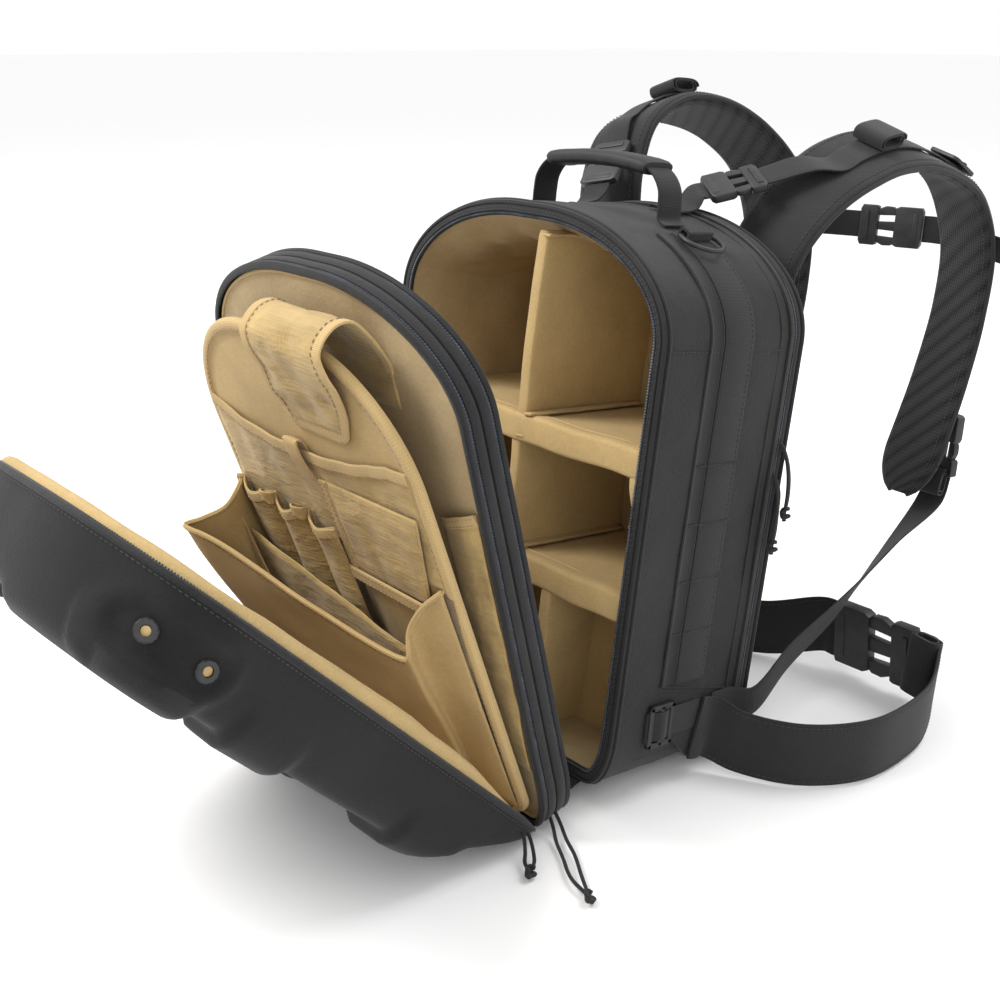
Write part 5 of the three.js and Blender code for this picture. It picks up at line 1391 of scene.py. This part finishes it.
def addSternum(ends):
    right, left = ends["right"]["chest"], ends["left"]["chest"]
    start = offsetFrom(right, -43, ends["right"]["ride"])
    end = offsetFrom(left, 43, ends["left"]["ride"])
    span = end - start
    middle = start + span * 0.42
    half = span.normalized() * 30
    buckle("sternum_buckle", middle - half, middle + half, vec(0, 1, 0), 38, 9)
    step = span.normalized() * 0.6
    over = 7.6
    for side, sign, chest, tail in (("right", 1, right, 18), ("left", -1, left, 2)):
        near = middle - (half + step) * sign
        onStrap = -chest["tangent"]
        rows = [(offsetFrom(chest, sign * (strap["width"] / 2 + tail), over), onStrap),
                (offsetFrom(chest, 0, over), onStrap),
                (offsetFrom(chest, -sign * strap["width"] / 2, over), onStrap),
                (near - span * 0.08 * sign, vec(0, 0, 1)), (near, vec(0, 0, 1))]
        narrowBand(f"sternum_web_{side}", rows, 40, f"sternum_webbing_{side}")
        bm = bmesh.new()
        toBag = frameAt(offsetFrom(chest, 0, over + 2.4), chest["tangent"], chest["normal"])
        plate(bm, roundedLoop(34, 14, 3), 3, 0.8, toBag)
        finishPiece(f"sternum_keeper_{side}", bm, plastic)


def addLower(ends):
    for side, sign in (("right", 1), ("left", -1)):
        hang = ends[side]["frameNear"](0.86)
        out = strap["thickness"] / 2 + gap + 4.5
        top = offsetFrom(hang, sign * 14, out)
        end = top + vec(0, 2, -60)
        buckle(f"lower_buckle_{side}", top, end, hang["normal"], 38, 9)
        start = end + vec(0, 0, -0.8)
        finishZ = 48 if side == "right" else 92
        cornerX = halfWidthAt(body, -gap, finishZ + 12.5) + 2
        finish = vec(sign * cornerX, body["depth"] * 0.83, finishZ)
        span = finish - start
        rows = [(start, vec(1, 0, 0)), (start + vec(0, -8, -22), vec(1, 0.2, 0)),
                (start + span * 0.25 + vec(0, 0, -22), vec(0.6, 0.4, sign * 0.8)),
                (start + span * 0.5 + vec(0, 0, -28), vec(0.2, 0.3, sign)),
                (start + span * 0.75 + vec(sign * 4, 0, -16), vec(0.1, 0, sign)),
                (finish + vec(sign * 4, 26, -4), vec(0, 0, sign)), (finish, vec(0, 0, sign)),
                (finish + vec(0, -22, 0), vec(0, 0, sign))]
        narrowBand(f"lower_web_{side}", rows, 90, f"lower_webbing_{side}")
        # The tail is folded up into a small roll in front of the buckle
        tail = {"point": start + vec(0, -6, -6), "tangent": vec(0, 0.2, 1).normalized(),
                "side": vec(1, 0, 0), "normal": vec(0, -1, 0.2).normalized()}
        band(f"lower_roll_{side}", spiral(tail, 26, 11, 1.6, 40), 25, 1.8, webbing, 60)


beltRoutes = {
    1: ((0.975, 0.57, 0.3), (0.985, 0.68, 0.2), (1.12, 0.76, 0.05), (1.39, 0.92, 0), (1.58, 1.21, 0),
        (1.6, 1.56, 0), (1.54, 1.85, 0.05), (1.41, 2.11, 0.26), (1.28, 2.15, 0.26)),
    -1: ((-0.975, 0.57, 0.3), (-0.985, 0.72, 0.2), (-1.03, 0.97, 0.05), (-0.95, 1.14, 0), (-0.64, 1.4, 0),
         (-0.25, 1.74, 0), (0.27, 2.0, 0), (0.54, 2.11, 0.26), (0.67, 2.15, 0.26)),
}


def addBelt():
    clear = 141 + 0.6 + 1.3 + 2
    rows = {}
    for sign, route in beltRoutes.items():
        rows[sign] = []
        for across, along, lift in route:
            y = along * body["depth"]
            reach = max(abs(across) * body["width"] / 2, clear if y < body["depth"] else 0)
            x = math.copysign(reach, across)
            rows[sign].append(vec(x, y, ground(y) + 2.2 + 52 * (0.5 + lift)))
    start, end = rows[-1][-1].copy(), rows[1][-1].copy()
    along = (end - start).normalized()
    middle = (start + end) / 2
    for sign in (1, -1):
        for k, extra in ((-2, 14), (-1, 0)):
            rows[sign][k] = middle + along * sign * (42 + gap + extra)
    for side, sign in (("right", 1), ("left", -1)):
        points = [(p, vec(0, 0, 1)) for p in rows[sign]]
        frames = ribbonFrames(points, 110)
        sweep(f"waist_belt_{side}_web", frames, oval(52, 2.6, 14, 0.3), webbing,
              replaced=(f"waist_belt_{side}",))
        lines = [[offsetFrom(f, edge, out) for f in frames[4:]]
                 for edge in (-22.5, 22.5) for out in (1.35, -1.35)]
        stitches(f"waist_belt_{side}_stitches", lines, threadBlack, up=vec(0, 0, 1), length=3, radius=0.3)
        # Wing patch sewn on the body side, with a pointed end
        base = frames[0]["point"]
        x = halfWidthAt(body, -gap, base.z) + 0.3
        profile = [(-27, 0), (-26, 1.6), (-12, 2.2), (0, 2.4), (12, 2.2), (26, 1.6), (27, 0)]
        rings = []
        for i in range(13):
            y = mix(base.y - 26, base.y + 18, i / 12)
            half = 27 * min(1, 0.12 + i / 12 * 1.6)
            rings.append([vec(sign * (x + o), y, base.z + a * half / 27) for a, o in profile])
        loft(f"belt_wing_{side}", rings, black, capped=True)
    buckle("belt_buckle", middle - along * 42, middle + along * 42, vec(0, 1, 0.2), 60, 12)
    roll = ribbonFrames([(p, vec(0, 0, 1)) for p in rows[1]], 110)[-12]
    roll["point"] = offsetFrom(roll, 0, 1.6)
    band("belt_roll", spiral(roll, 30, 15, 2, 50), 54, 2.2, webbing, 80)


def addBackPanel():
    face = strap["face"]
    rows = [(14, 151.4), (12.2, 154), (12, 158), (13.5, 161), (18, 162.6), (26, 163.2)]
    rows += [(inset, 163.4) for inset in (40, 60, 90, 120)]
    rings = []
    for inset, y in rows:
        ring = []
        for x, z in outline(body, inset):
            quilt = 1.6 * abs(math.sin(z / 33)) * min(1, max(0, inset - 14) / 20)
            ring.append(vec(x, min(y, face) - 1.6 + quilt, z))
        rings.append(ring)
    piece = loft("back_pad", rings, mesh, capped=True, replaced=("back_panel",))
    line = spaced(ringAt(body, 15, upright, -161), 5, True)
    tube("back_pad_piping", line, 2, webbing, 8, True, slot="nylon")


print("harness")
ends = addStraps()
addSternum(ends)
addLower(ends)
addBelt()
addBackPanel()


def addSliders():
    for side, sign in (("right", 1), ("left", -1)):
        node = f"side_slider_{side}"
        low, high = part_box(node)
        middle = unlean((low + high) * 500 - shift)
        bm = bmesh.new()
        for y0, y1, z0, z1 in ((-13.5, -9, -17.5, 17.5), (9, 13.5, -17.5, 17.5), (-13.5, 13.5, 13, 17.5),
                               (-13.5, 13.5, -17.5, -13), (-2.2, 2.2, -17, 17)):
            place = middle + vec(0, (y0 + y1) / 2, (z0 + z1) / 2)
            toBag = frameAt(place, vec(0, 0, 1), vec(sign, 0, 0))
            plate(bm, roundedLoop(z1 - z0, y1 - y0, 1.6, 3), 4, 0.9, toBag)
        finishPiece(f"slider_{side}_bars", bm, plastic, replaced=(node,))
        line = ((90, -1.2), (72, -1.0), (60, -0.6), (53, 0.2), (48, 2.4), (44, 2.4), (40, 0.4), (36, -0.8),
                (31, -1.0))
        rows = [(vec(middle.x + sign * lift, y, middle.z), vec(0, 0, sign)) for y, lift in line]
        band(f"slider_{side}_web", rows, 24, 1.8, webbing, 40)


def restyle():
    kept = {"ring_loop_right": webbing, "ring_loop_left": webbing, "flap_hinge": black, "shell_hinge": black,
            "eyelet_right_lower": plastic, "eyelet_right_upper": plastic, "eyelet_left_lower": plastic,
            "eyelet_left_upper": plastic}
    for name, material in kept.items():
        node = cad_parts[name]
        node.data.materials.clear()
        node.data.materials.append(material)
        if not node.data.uv_layers.get("along"):
            node.data.uv_layers.new(name="along")


print("fittings")
addSliders()
restyle()

floorLow = min(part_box(name)[0].z for name in ("rear_zip_band", "shell_hinge", "waist_belt_right"))
bm = bmesh.new()
bmesh.ops.create_grid(bm, x_segments=1, y_segments=1, size=30)
for vert in bm.verts:
    vert.co.z = min(0.0, floorLow) - 0.0005
data = bpy.data.meshes.new("floor")
bm.to_mesh(data)
bm.free()
data.materials.append(floorPaint())
floor = bpy.data.objects.new("floor", data)
scene.collection.objects.link(floor)
